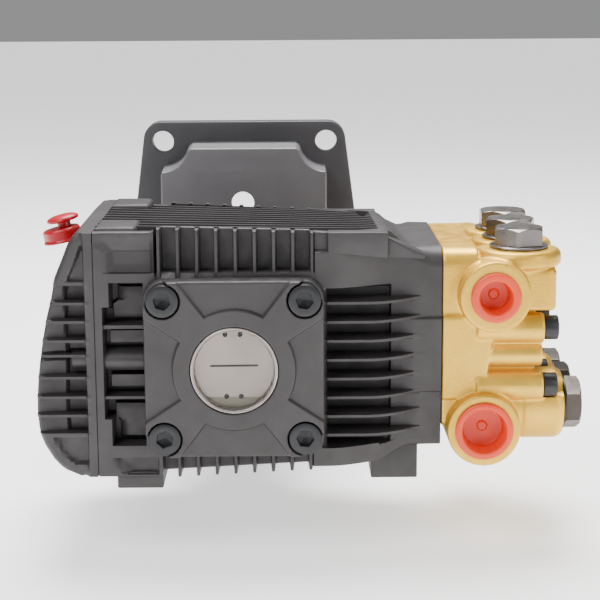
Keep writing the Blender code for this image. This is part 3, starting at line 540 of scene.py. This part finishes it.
def rearShell():
    c, s = rear, 0.32
    edges = pairs(c["fins"], c["finHalf"]) + [34.8, -29.6, -2.0, 6.0]
    outline = np.array(c["outline"])[::-1]
    ends = outline[0, 1], outline[-1, 1]
    z = featureLines(sorted(edges), *ends, s, 1.3)
    # the outline's sideways reach against height, smoothed by averaging over a short stretch
    near = [np.clip(z + shift, *ends) for shift in (-1.2, 0.0, 1.2)]
    reach = sum(np.interp(height, outline[:, 1], outline[:, 0]) for height in near) / 3.0
    stretch = featureLines([3.75, 9.6, 13.0, 20.6], 0.0, 24.0, 0.35, 1.4)
    x = np.where(stretch[None, :] <= 4.8, c["face"] - stretch[None, :] + 0.0 * reach[:, None],
                 c["face"] - 4.8 - (stretch[None, :] - 4.8) * (c["face"] - 4.8 - reach[:, None]) / 19.2)
    zz = z[:, None] + 0.0 * x
    # distance from the outline, for the roll of the edge and the border of the two panels
    away = np.full(x.shape, 99.0)
    for a, b in zip(outline[:-1], outline[1:]):
        run = (x - a[0]) * (b[0] - a[0]) + (zz - a[1]) * (b[1] - a[1])
        t = np.clip(run / np.sum((b - a) ** 2), 0.0, 1.0)
        away = np.minimum(away, np.hypot(x - a[0] - t * (b[0] - a[0]), zz - a[1] - t * (b[1] - a[1])))
    beyond = 1.0 - ramp(x, c["rimEdge"], 0.5)
    level = c["rim"] + (c["finTop"] - c["rim"]) * beyond
    grooves = beyond * band(zz, -28.3, 33.4, s) * (1.0 - finRow(zz, c["fins"], c["finHalf"], s))
    floor = c["floor"] + 2.6 * (1.0 - ramp(x, -67.6, 0.6))
    floor = floor + (48.6 - floor) * (1.0 - np.clip(away / 7.0, 0.0, 1.0)) ** 1.6
    level = level + (floor - level) * grooves
    level = level - 1.6 * band(zz, 2.7, 5.1, s) * beyond
    panel = ramp(away, 5.2, 0.5) * beyond * (ramp(zz, 34.6, 0.4) + 1.0 - ramp(zz, -29.6, 0.4))
    level = level - 2.2 * panel
    bar = np.clip((zz - 1.9) / 4.0, -1.0, 1.0)
    stub = band(x, -65.4, -59.0, 0.3) * (np.abs(zz - 1.9) < 4.0)
    level = np.where(stub > 0.5, np.maximum(level, 44.0 + 4.6 * np.sqrt(1.0 - bar * bar)), level)
    # painted shade: the deeper the grooves, the darker the cover's colour
    hollow = np.clip((c["finTop"] - level) / 5.5, 0.0, 1.0)
    # the edge of the outline is rolled over into the back wall
    level = level - 1.8 * (1.0 - np.clip(away / 1.8, 0.0, 1.0)) ** 2 * beyond
    backLines = np.linspace(-1.0, 1.0, 25)
    backY = backLines[None, :] * (level[:, -1:] - 0.6)
    backX = reach[:, None] - 0.2 * (1.0 - backLines[None, :] ** 8)
    ys = [-level, backY, level[:, ::-1]]
    xs = [x, backX, x[:, ::-1]]
    faceLines = np.linspace(1.0, -1.0, 7)[None, 1:-1]
    ys.append(faceLines * level[:, :1])
    xs.append(c["face"] + 0.0 * faceLines * level[:, :1])
    sectionX, sectionY = np.hstack(xs), np.hstack(ys)
    hollow = np.hstack([hollow, 0.0 * backX, hollow[:, ::-1], 0.0 * faceLines * level[:, :1]])
    grid = np.stack([sectionX, sectionY, z[:, None] + 0.0 * sectionX], axis=-1)
    low, high = grid[:1].copy(), grid[-1:].copy()
    low[..., 1], high[..., 1] = 0.0, 0.0
    low[..., 0], high[..., 0] = -58.0, -58.0
    grid = np.vstack([low, grid, high])
    hollow = np.vstack([hollow[:1], hollow, hollow[-1:]])
    rows, cols = grid.shape[:2]
    return (grid.reshape(-1, 3), gridFaces(rows, cols, False, True)), hollow


def tilted(shell, pivot, degrees):
    # leans a shell about a level line through the pivot, top towards the rear
    points, faces = shell
    t = math.radians(-degrees)
    p = np.asarray(points) - pivot
    x = p[:, 0] * math.cos(t) + p[:, 2] * math.sin(t)
    z = -p[:, 0] * math.sin(t) + p[:, 2] * math.cos(t)
    return np.stack([x, p[:, 1], z], axis=1) + pivot, faces


filler = {"centre": (-73.6, 0.0), "foot": 43.0, "lean": 12.0}
fillerPivot = np.array([filler["centre"][0], 0.0, filler["foot"]])


def fillerBoss():
    profile = rounded([(0.0, 16.0), (2.5, 16.0), (5.0, 27.0), (8.2, 42.0), (8.2, 42.8), (0.0, 42.8)],
                      [0, 0, 3, 0.3, 0.3, 0], 4)
    return tilted(turned("Z", filler["centre"], profile, 64), fillerPivot, filler["lean"] * 0.6)


rearGrid, rearPaintedShade = rearShell()
rearPads = []
for side in (-1, 1):
    y0, y1 = sorted((side * 22.0, side * 45.0))
    pad = rounded([(-60.6, y0), (-55.9, y0), (-55.9, y1), (-60.6, y1)], [3.0, 0.0, 0.0, 3.0], 5, True)
    rearPads.append(stacked("Z", pad, edgeSteps(48.0, 55.0, 1.8, 5)[4:]))
rearCover = makePiece("rearCoverCasting", joinShells([rearGrid, fillerBoss()] + rearPads), castGrey,
                      nodes=["rear_cover"], hollow=rearPaintedShade)
bore = [(0.0, -92.0), (4.75, -92.0), (4.75, -61.75), (0.0, -61.75)]
combine(rearCover, [turned("X", spot, bore, 40) for spot in rear["screws"]], "DIFFERENCE")
print("rear cover:", len(rearCover.data.polygons), "faces")


def fillerCap():
    # a collar with a flared foot, and a tilted lens-shaped disc on a slim neck to turn it by
    collar = rounded([(0.0, 43.1), (8.3, 43.1), (8.5, 43.5), (8.2, 44.2), (7.9, 44.6), (7.9, 48.0),
                      (7.3, 48.9), (5.6, 49.2), (0.0, 49.2)], 0.3, 3)
    neck = [(0.0, 48.6), (3.4, 48.6), (2.8, 49.6), (2.8, 51.2), (3.6, 52.0), (0.0, 52.0)]
    disc = rounded([(0.0, 51.0), (3.0, 51.0), (6.4, 51.6), (7.0, 52.3), (6.6, 53.2), (4.6, 54.1),
                    (0.0, 54.5)], [0, 0.6, 0.6, 0.6, 0.6, 1.0, 0], 4)

    def grip(radius, angle):
        return radius * (1.0 + 0.02 * np.cos(6.0 * angle) * (radius > 7.7) * (radius < 8.0))
    x0 = filler["centre"][0]
    top = [turned("Z", (x0 + 1.9, 0.0), neck, 48), turned("Z", (x0 + 1.9, 0.0), disc, 72)]
    return joinShells([tilted(turned("Z", (x0, 0.0), collar, 96, grip), fillerPivot, filler["lean"])]
                      + [tilted(shell, fillerPivot, filler["lean"] + 1.0) for shell in top])


makePiece("oilFillerCap", fillerCap(), redPlastic, "oil_cap_body", ["oil_filler_cap"])


# ---------- side cover ----------
cover = {"front": -60.0, "back": -51.4, "half": 35.6, "corner": 7.6, "pitch": 28.0, "hole": 17.75,
         "ring": 23.9, "step": 1.6, "pocket": 6.95, "pocketDepth": 3.9, "rim": 1.1}


def coverOutline(angle):
    # a square with round corners centred on the screws, seen from the middle
    c = cover
    cosA, sinA = np.abs(np.cos(angle)), np.abs(np.sin(angle))
    flat = c["half"] / np.maximum(cosA, sinA)
    along = (cosA + sinA) * c["pitch"]
    under = c["corner"] ** 2 - (2.0 * c["pitch"] ** 2 - along ** 2)
    return np.where(np.minimum(cosA, sinA) * flat > c["pitch"], along + np.sqrt(np.maximum(under, 0.0)), flat)


def coverFace(x, z):
    # depth of the front face: a raised ring and four arms, sunk fields between, pockets for the heads
    c = cover
    ax, az = np.abs(x), np.abs(z)
    r = np.hypot(x, z)
    topField = np.minimum((12.4 + (az - 21.8) * 0.763 - ax) / 1.258, r - c["ring"])
    sideField = np.minimum((12.6 + (ax - 21.8) * 0.66 - az) / 1.198, r - c["ring"])
    field = np.maximum(topField, sideField)
    depth = c["step"] * ramp(field, 0.55, 0.55)
    fromScrew = np.hypot(ax - c["pitch"], az - c["pitch"])
    return depth + c["pocketDepth"] * (1.0 - ramp(fromScrew, c["pocket"], 0.22))


def coverShell():
    c = cover
    n = 720
    angle = np.linspace(0.0, 2.0 * math.pi, n, endpoint=False)
    edge = coverOutline(angle)
    t = np.linspace(0.0, 1.0, 96)
    inner = c["hole"] + 0.3
    radius = inner + (edge[None, :] - c["rim"] - inner) * t[:, None]
    x, z = radius * np.cos(angle), radius * np.sin(angle)
    y = c["front"] + coverFace(x, z)
    rimT = np.linspace(0.0, math.pi / 2, 6)[1:, None]
    rimR = edge[None, :] - c["rim"] + c["rim"] * np.sin(rimT)
    rimY = y[-1:] + c["rim"] * (1.0 - np.cos(rimT))
    back, flat = c["back"], 0.0 * edge
    sideRows = [(edge + 0.55, back - 0.4), (edge + 0.3, back), (edge - 0.6, back), (c["hole"], back),
                (c["hole"], c["front"] + 0.25)]
    radius = np.vstack([radius, rimR] + [flat + r for r, _ in sideRows])
    along = np.vstack([y, rimY + flat] + [flat + a for _, a in sideRows])
    points = onAxis("Y", radius * np.cos(angle), radius * np.sin(angle), along)
    return points, gridFaces(len(radius), n, True, True)


sideCover = makePiece("sideCoverCasting", coverShell(), castGrey, nodes=["side_cover"],
                      sharp=50.0)
print("side cover:", len(sideCover.data.polygons), "faces")


# ---------- screws ----------
headBoltY, headBoltZ = (-37.5, -13.0, 13.0, 37.5), (-12.0, 12.0)


def socketScrew(axis, centre, seat, out, headR, headH, shankR, length, key, turn=0.0):
    # rings from the shank's tip to the head's rim, then a six-sided socket sunk into the top
    top = seat + out * headH
    chamfer = headR * 0.10
    depth = min(headH * 0.8, 4.2)
    angle = np.linspace(0.0, 2.0 * math.pi, 72, endpoint=False)
    hexR = (key / 2.0) / np.cos((angle + turn) % (math.pi / 3) - math.pi / 6)
    shank = [(0.0, seat - out * length), (shankR * 0.8, seat - out * length),
             (shankR, seat - out * (length - 1.0)), (shankR, seat)]
    head = [(headR - 0.2, seat), (headR, seat + out * 0.2), (headR, top - out * chamfer),
            (headR - chamfer * 0.3, top - out * chamfer * 0.3), (headR - chamfer, top), (key * 0.72, top)]
    socket = [(hexR + 0.25, top), (hexR, top - out * 0.25), (hexR, top - out * depth),
              (hexR * 0.25, top - out * (depth + 0.6)), (0.0, top - out * (depth + 0.7))]
    return roundShell(axis, centre, shank + head + socket, angle)


def screwPiece(name, node, shell):
    makePiece(name, shell, blackOxide, nodes=[node])


pitch = cover["pitch"]
spots = [(x, z) for z in (pitch, -pitch) for x in (-pitch, pitch)]
for number, (spot, twist) in enumerate(zip(spots, (0.25, 1.2, 0.7, 0.1)), 1):
    shell = socketScrew("Y", spot, -56.05, -1, 6.5, 3.9, 4.0, 4.0, 6.0, twist)
    screwPiece(f"coverScrew{number}", f"cover_screw_{number}", shell)
    shell = socketScrew("Y", spot, 60.3, 1, 6.5, 8.0, 4.0, 8.0, 6.0, twist)
    screwPiece(f"flangeScrew{number}", f"flange_screw_{number}", shell)
for number, spot in enumerate(rear["screws"], 1):
    shell = socketScrew("X", spot, -61.9, -1, 4.2, 5.0, 2.5, 6.0, 4.0, 0.4 * (number - 1))
    screwPiece(f"rearScrew{number}", f"rear_screw_{number}", shell)
spots = [(y, z) for y in headBoltY for z in headBoltZ[::-1]]
for number, spot in enumerate(spots, 1):
    shell = socketScrew("X", spot, 125.6, 1, 5.0, 5.6, 3.0, 4.0, 5.0, 0.5 * (number - 1))
    screwPiece(f"headScrew{number}", f"head_screw_{number}", shell)
print("screws ready")


# ---------- sight glass ----------
glass = {"disc": 15.6, "chord": -11.3}


def sightDisc():
    # a round plate whose lower edge is cut straight, with a proud rim line
    c = glass
    angle = np.linspace(0.0, 2.0 * math.pi, 96, endpoint=False)
    u, v = c["disc"] * np.cos(angle), np.maximum(c["disc"] * np.sin(angle), c["chord"])
    return stacked("Y", np.stack([u, v], axis=1), [(0.0, -55.4), (0.0, -56.2), (0.15, -56.35)])


def sightMarks():
    # a dark level line across the plate, and four small round holes drawn as near-black discs: painted shade
    # standing in for the holes
    shells = [stacked("Y", rounded([(-9.5, 0.95), (9.5, 1.05), (9.5, 1.85), (-9.5, 1.75)], 0.35, 3, True),
                      [(0.0, -56.25), (0.0, -56.5)])]
    for x, z in ((-3.5, 13.9), (2.4, 13.9), (-3.2, -11.0), (2.6, -11.0)):
        shells.append(turned("Y", (x, z), [(0.0, -56.2), (1.0, -56.2), (1.0, -56.5), (0.0, -56.5)], 20))
    return joinShells(shells)


ringProfile = rounded([(17.45, -54.9), (17.45, -59.6), (17.1, -59.95), (16.75, -59.95), (16.65, -59.6),
                       (16.5, -59.6), (16.4, -59.9), (16.2, -59.8), (15.9, -58.9), (15.75, -57.6),
                       (15.9, -54.9)], [0, 0.2, 0.15, 0.1, 0.05, 0.05, 0.1, 0.1, 0.3, 0.2, 0], 3)
ringProfile = np.vstack([ringProfile, ringProfile[:1]])
makePiece("sightRing", turned("Y", (0.0, 0.0), ringProfile, 128), ringSilver, nodes=["sight_plate"])
makePiece("sightDisc", sightDisc(), silverDisc)
makePiece("sightMarks", sightMarks(), darkMarksAndHoleShade)
oil = [(0.0, -55.0), (15.9, -55.0), (15.9, -55.3), (0.0, -55.3)]
makePiece("sightOil", turned("Y", (0.0, 0.0), oil, 64), gearOil)
lens = rounded([(0.0, -58.0), (15.7, -58.0), (15.7, -58.9), (0.0, -59.1)], 0.2, 2)
makePiece("sightLens", turned("Y", (0.0, 0.0), lens, 96), windowPlastic, nodes=["sight_window"])
print("sight glass ready")


# ---------- engine flange ----------
flange = {"front": 139.0, "face": 149.0, "bellFront": 114.0, "bolt": (41.3, 71.5), "boltR": 5.5,
          "pilot": 52.0}


def fourfold(points):
    # mirrors a quarter outline, given from the right side to the top, into a whole one
    q = np.asarray(points, float)
    whole = np.vstack([q, q[::-1] * [-1, 1], q * [-1, -1], q[::-1] * [1, -1]])
    return whole[np.linalg.norm(whole - np.roll(whole, 1, axis=0), axis=1) > 0.001]


def plateOutline():
    c = flange["bolt"]
    a = np.radians(np.linspace(6.0, 88.0, 12))
    arc = np.stack([c[0] + 0.8 + 9.0 * np.cos(a), c[1] + 0.9 + 9.2 * np.sin(a)], axis=1)
    arc[:, 1] = np.minimum(arc[:, 1], 81.6)
    side = rounded([(57.6, 0.0), (57.4, 24.0), arc[0]], 12.0, 8)
    return fourfold(np.vstack([side[:-1], arc]))


def bellOutline(inset=0.0):
    c = flange["bolt"]
    half, top = 40.9 - inset, 70.6 - inset
    a = np.radians(np.linspace(266.0, 184.0, 14))
    arc = np.stack([c[0] + (13.9 + inset) * np.cos(a), c[1] + (12.6 + inset) * np.sin(a)], axis=1)
    arc = arc[(arc[:, 0] < half - 0.2) & (arc[:, 1] < top - 0.2)]
    start, end = np.array([half, arc[0, 1] - 1.6]), np.array([arc[-1, 0] - 1.6, top])
    line = np.vstack([[half, 0.0], start, arc, end, [0.0, top]])
    return fourfold(rounded(line, np.concatenate([[0, 2.2], np.zeros(len(arc)), [2.2, 0]]), 4))


def engineFlange():
    c = flange
    plate = stacked("Y", plateOutline(), edgeSteps(c["front"], c["face"], 0.7))
    bellSteps = [(1.0, c["bellFront"]), (0.5, c["bellFront"] + 0.15), (0.2, c["bellFront"] + 0.5),
                 (0.0, c["bellFront"] + 1.2), (-0.5, c["front"] - 1.2), (-1.3, c["front"] + 0.4)]
    hub = rounded([(0.0, 55.0), (36.4, 55.0), (36.4, 62.0), (33.5, 66.0), (33.5, 112.0), (36.0, 115.0),
                   (0.0, 115.0)], [0, 0, 2, 3, 3, 0, 0], 4)
    seat = rounded([(35.5, -35.5), (35.5, 35.5), (-35.5, 35.5), (-35.5, -35.5)], 9.0, 8, True)
    obj = makePiece("engineFlangeCasting", plate, castGrey, nodes=["engine_flange"])
    combine(obj, [stacked("Y", bellOutline(), bellSteps), turned("Y", (0.0, 0.0), hub, 96),
                  stacked("Y", seat, edgeSteps(51.4, 60.0, 0.6))], "UNION")
    pilot = [(0.0, 146.5), (c["pilot"], 146.5), (c["pilot"] + 0.8, 149.4), (0.0, 149.4)]
    cuts = [stacked("Y", bellOutline(4.2), [(0.0, 118.5), (0.0, 155.0)]),
            turned("Y", (0.0, 0.0), pilot, 128),
            turned("Y", (0.0, 0.0), [(0.0, 62.0), (28.0, 62.0), (28.0, 125.0), (0.0, 125.0)], 96),
            turned("Y", (0.0, 0.0), [(0.0, 45.0), (24.0, 45.0), (24.0, 70.0), (0.0, 70.0)], 96),
            turned("Y", (-0.5, 43.4), [(0.0, 110.0), (5.6, 110.0), (5.6, 122.0), (0.0, 122.0)], 48)]
    bolt = [(0.0, 130.0), (c["boltR"], 130.0), (c["boltR"], 155.0), (0.0, 155.0)]
    head = [(0.0, 60.0), (7.6, 60.0), (7.6, 108.0), (0.0, 108.0)]
    for x in (-1, 1):
        for z in (-1, 1):
            cuts.append(turned("Y", (x * c["bolt"][0], z * c["bolt"][1]), bolt, 48))
            cuts.append(turned("Y", (x * cover["pitch"], z * cover["pitch"]), head, 32))
    combine(obj, cuts, "DIFFERENCE")
    # painted light and shade: the bell is painted lighter than the plate behind it, for the plate lying in
    # shade behind the bell
    obj.data.materials.clear()
    obj.data.materials.append(shadedPlateGrey)
    obj.data.materials.append(litBellGrey)
    middles = np.zeros(len(obj.data.polygons) * 3)
    obj.data.polygons.foreach_get("center", middles)
    isBell = middles.reshape(-1, 3)[:, 1] < (c["front"] - 0.9) * 0.001 + drawingZero[1]
    obj.data.polygons.foreach_set("material_index", isBell.astype(np.int32))
    obj.data.shade_smooth()
    obj.data.set_sharp_from_angle(angle=math.radians(32.0))
    return obj


engineFlangePiece = engineFlange()
print("engine flange:", len(engineFlangePiece.data.polygons), "faces")


# ---------- brass manifold ----------
manifold = {"face": 83.9, "plungers": (-26.0, 0.0, 26.0), "capX": 116.3, "suctionZ": -22.3,
            "outlet": (104.6, 26.4), "inlet": (100.7, -28.6), "port": -48.0, "voxel": 0.00055,
            "deliveryTurns": (1.42, 1.30, 1.55), "suctionTurns": (0.5236, 0.12, 0.3), "capAcross": 19.2}


def manifoldShells():
    c = manifold
    x0 = c["face"]
    shells = []
    # the body carries on the section of the neck it is bolted to
    body = rounded([(-40.3, -28.8), (40.3, -28.8), (40.3, 44.7), (-40.3, 44.7)], [3, 3, 8, 8], 8, True)
    shells.append(stacked("X", body, edgeSteps(x0, 98.5, 0.4)))
    wedge = rounded([(x0, -17.0), (101.2, -17.0), (105.6, 17.5), (x0, 17.5)], 0.6, 3, True)
    shells.append(stacked("Y", wedge, edgeSteps(-42.0, 42.0, 0.9)))
    shells.append(softBlock(97.0, 130.4, -40.6, 40.6, 19.3, 36.0, 4.0, 1.0))
    shells.append(softBlock(100.0, 122.5, -36.0, 36.0, -20.0, 22.0, 2.0, 1.0))
    for y in c["plungers"]:
        collar = rounded([(0.0, 30.0), (14.8, 30.0), (14.9, 35.6), (17.4, 37.4), (17.3, 41.6), (15.8, 43.3),
                          (0.0, 43.3)], [0, 0, 0.8, 0.8, 1.0, 0.8, 0], 4)
        shells.append(turned("Z", (c["capX"], y), collar, 72))
        boss = rounded([(0.0, 96.0), (14.3, 96.0), (14.3, 117.6), (14.8, 118.2), (14.8, 132.4), (13.2, 134.8),
                        (0.0, 134.8)], [0, 0, 0.5, 0.5, 1.2, 0.6, 0], 4)
        shells.append(turned("X", (y, c["suctionZ"]), boss, 72))
    tube = rounded([(0.0, 98.0), (6.1, 98.0), (6.1, 125.4), (0.0, 125.4)], [0, 0, 0.5, 0], 3)
    shells += [turned("X", (y, z), tube, 40) for y in headBoltY for z in headBoltZ]
    lug = rounded([(0.0, 100.0), (5.0, 100.0), (5.0, 124.8), (0.0, 124.8)], [0, 0, 0.5, 0], 3)
    shells += [turned("X", (y, 0.9), lug, 40) for y in (-36.8, 36.8)]
    for (x, z), radius, far in ((c["inlet"], 14.9, 48.0), (c["outlet"], 14.4, 62.0)):
        port = rounded([(0.0, c["port"]), (radius, c["port"]), (radius + 0.25, -30.0), (radius + 0.25, 30.0),
                        (radius, far), (0.0, far)], [0, 0.7, 0, 0, 0.7, 0], 4)
        shells.append(turned("Y", (x, z), port, 96))
    return shells


def forged(name, shells, cuts, voxel, finish, nodes):
    # closed shells are fused into one skin and softened, as a forging's edges are
    obj = makePiece(name, joinShells(shells), finish, nodes=nodes)
    fuse = obj.modifiers.new("fuse", "REMESH")
    fuse.mode, fuse.voxel_size, fuse.adaptivity = "VOXEL", voxel, 0.0
    smooth = obj.modifiers.new("soften", "SMOOTH")
    smooth.factor, smooth.iterations = 0.5, 4
    result = bpy.data.meshes.new_from_object(obj.evaluated_get(bpy.context.evaluated_depsgraph_get()))
    obj.modifiers.clear()
    obj.data = result
    combine(obj, cuts, "DIFFERENCE")
    obj.data.materials.clear()
    obj.data.materials.append(finish)
    obj.data.shade_smooth()
    obj.data.set_sharp_from_angle(angle=math.radians(50.0))
    return obj


portCuts = []
for port, radius, near, far in (("inlet", 10.3, -33.0, 38.0), ("outlet", 8.3, -35.0, 50.0)):
    for mouth, floor in ((-60.0, near), (80.0, far)):
        profile = [(0.0, mouth), (radius, mouth), (radius, floor), (0.0, floor)]
        portCuts.append(turned("Y", manifold[port], profile, 64))
recess = [(0.0, 125.5), (5.5, 125.5), (5.5, 140.0), (0.0, 140.0)]
portCuts += [turned("X", (y, headBoltZ[0]), recess, 40) for y in headBoltY]
manifoldPiece = forged("manifoldForging", manifoldShells(), portCuts, manifold["voxel"], forgedBrass,
                       ["manifold"])
print("manifold:", len(manifoldPiece.data.polygons), "faces")


def hexCap(axis, centre, foot, top, across, turn, washerR, washerLow, stubR, stubEnd):
    # a round foot, then six flats whose upper corners are cut back by a cone
    sign = 1.0 if top > foot else -1.0
    angle = np.linspace(0.0, 2.0 * math.pi, 96, endpoint=False)
    hexR = (across / 2.0) / np.cos((angle - turn) % (math.pi / 3) - math.pi / 6)
    flatR = across / 2.0
    drop = (hexR - flatR * 0.985) * 0.62
    washer = [(0.0, stubEnd), (stubR, stubEnd), (stubR, washerLow), (washerR - 0.2, washerLow),
              (washerR, washerLow + sign * 0.2), (washerR, foot - sign * 0.25), (washerR - 0.3, foot)]
    flats = [(hexR + 0.25, foot + sign * 0.02), (hexR, foot + sign * 0.3),
             (hexR, top - sign * (drop + 0.12)), (hexR - 0.12, top - sign * drop)]
    end = [(flatR * 0.985, top - sign * 0.05), (flatR * 0.93, top), (flatR * 0.5, top - sign * 0.06),
           (0.0, top - sign * 0.08)]
    return roundShell(axis, centre, washer + flats + end, angle)


across = manifold["capAcross"]
for number, y in enumerate(manifold["plungers"], 1):
    turn = manifold["deliveryTurns"][number - 1]
    cap = hexCap("Z", (manifold["capX"], y), 44.6, 51.9, across, turn, 12.0, 43.45, 6.6, 36.0)
    makePiece(f"deliveryCap{number}", cap, platedSteel, nodes=[f"delivery_cap_{number}"])
    turn = manifold["suctionTurns"][number - 1]
    cap = hexCap("X", (y, manifold["suctionZ"]), 135.95, 142.5, across, turn, 11.2, 135.1, 7.6, 128.0)
    makePiece(f"suctionCap{number}", cap, dullSteel, nodes=[f"suction_cap_{number}"])
print("valve caps ready")


# ---------- port plugs ----------
def plugShell(centre, flangeR, stubR, cupR):
    # a thin flange on the boss face and a cup pushed into the port
    f = manifold["port"] - 0.3
    profile = rounded([(0.0, f + 11.0), (stubR - 0.5, f + 11.0), (stubR, f + 9.0), (stubR, f), (flangeR, f),
                       (flangeR, f - 0.9), (flangeR - 0.8, f - 1.5), (cupR + 0.5, f - 1.5), (cupR, f - 0.6),
                       (cupR - 0.4, f + 8.0), (cupR - 1.2, f + 8.6), (2.2, f + 8.8), (1.8, f + 8.2),
                       (0.0, f + 8.1)], [0, 0.3, 0.3, 0, 0, 0.3, 0.5, 0.4, 0.5, 0.6, 0.6, 0.3, 0.3, 0], 4)
    return turned("Y", centre, profile, 96)


for port, flangeR, stubR, cupR in (("outlet", 10.1, 7.8, 6.5), ("inlet", 11.8, 9.8, 8.8)):
    makePiece(f"{port}Plug", plugShell(manifold[port], flangeR, stubR, cupR), orangePlastic,
              f"{port}_plug_body", [f"{port}_plug"])
for port, seat, shankR in (("Outlet", 62.2, 7.8), ("Inlet", 48.2, 9.8)):
    shell = socketScrew("Y", manifold[port.lower()], seat, 1, 13.6, 6.0, shankR, 8.0, 10.0)
    makePiece(f"far{port}Plug", shell, forgedBrass, nodes=[f"far_{port.lower()}_plug"])
print("port plugs ready")


# ---------- what stays from the solids ----------
solidFinish = {"cast_aluminium": castGrey, "forged_brass": forgedBrass, "plated_steel": platedSteel,
               "black_screw_steel": blackOxide, "machined_steel": groundSteel, "rubber": gasketRubber,
               "orange_plastic": orangePlastic, "red_plastic": redPlastic, "clear_plastic": windowPlastic}
slotOf = {row["node"]: row["material_slot"] for row in frame["record"]["subparts"]}
for nodeName, node in frame["nodes"].items():
    node.data.materials.clear()
    node.data.materials.append(solidFinish[slotOf[nodeName]])
print("plain solids finished")


# ---------- floor, light, camera ----------
def studio():
    mesh = bpy.data.meshes.new("studioFloor")
    size = 6.0
    corners = [(-size, -size, 0.0), (size, -size, 0.0), (size, size, 0.0), (-size, size, 0.0)]
    mesh.from_pydata(corners, [], [(0, 1, 2, 3)])
    floor = bpy.data.objects.new("studioFloor", mesh)
    bpy.context.scene.collection.objects.link(floor)
    mat, tree, shader = newMaterial("paleFloor", (0.93, 0.93, 0.93), 0.9)
    shader.inputs["Emission Color"].default_value = (1.0, 1.0, 1.0, 1.0)
    shader.inputs["Emission Strength"].default_value = 1.0
    tone = rampOf(tree, noiseField(tree, 2.0), [(0.3, (0.925, 0.925, 0.925)), (0.7, (0.935, 0.935, 0.935))])
    tree.links.new(tone, shader.inputs["Base Color"])
    mesh.materials.append(mat)
    world = bpy.data.worlds.new("studioWorld")
    world.use_nodes = True
    world.node_tree.nodes["Background"].inputs["Color"].default_value = (1.0, 1.0, 1.0, 1.0)
    world.node_tree.nodes["Background"].inputs["Strength"].default_value = 0.3
    bpy.context.scene.world = world


def areaLight(name, place, target, size, power):
    lamp = bpy.data.lights.new(name, "AREA")
    lamp.shape, lamp.size, lamp.energy = "DISK", size, power
    obj = bpy.data.objects.new(name, lamp)
    obj.location = place
    obj.rotation_euler = (Vector(target) - Vector(place)).to_track_quat("-Z", "Y").to_euler()
    bpy.context.scene.collection.objects.link(obj)


def frontCamera():
    # the roll, yaw and pitch are in radians, the lens in millimetres
    view = {"place": (21.58, -680.06, 150.28), "pitch": 0.1940, "yaw": 0.0074, "roll": -0.0059, "lens": 96.92}
    cp, sp = math.cos(view["pitch"]), math.sin(view["pitch"])
    cy, sy = math.cos(view["yaw"]), math.sin(view["yaw"])
    ahead = np.array([sy * cp, cy * cp, -sp])
    right = np.array([cy, -sy, 0.0])
    up = np.cross(right, ahead)
    cr, sr = math.cos(view["roll"]), math.sin(view["roll"])
    right, up = cr * right + sr * up, -sr * right + cr * up
    cameraData = bpy.data.cameras.new("frontCamera")
    cameraData.lens = view["lens"]
    cameraData.sensor_width = 36.0
    cameraData.clip_start = 0.01
    obj = bpy.data.objects.new("frontCamera", cameraData)
    turn = Matrix((right, up, -ahead)).transposed().to_4x4()
    obj.matrix_world = Matrix.Translation(np.array(view["place"]) * 0.001 + drawingZero) @ turn
    bpy.context.scene.collection.objects.link(obj)
    bpy.context.scene.camera = obj


studio()
areaLight("keyLight", (-0.55, -0.75, 0.95), (0.0, 0.0, 0.08), 0.6, 8.6)
areaLight("fillLight", (0.8, -0.7, 0.5), (0.0, 0.0, 0.08), 0.5, 4.0)
areaLight("topLight", (0.0, 0.3, 1.1), (0.0, 0.0, 0.08), 0.8, 34.0)
frontCamera()
print("studio ready")
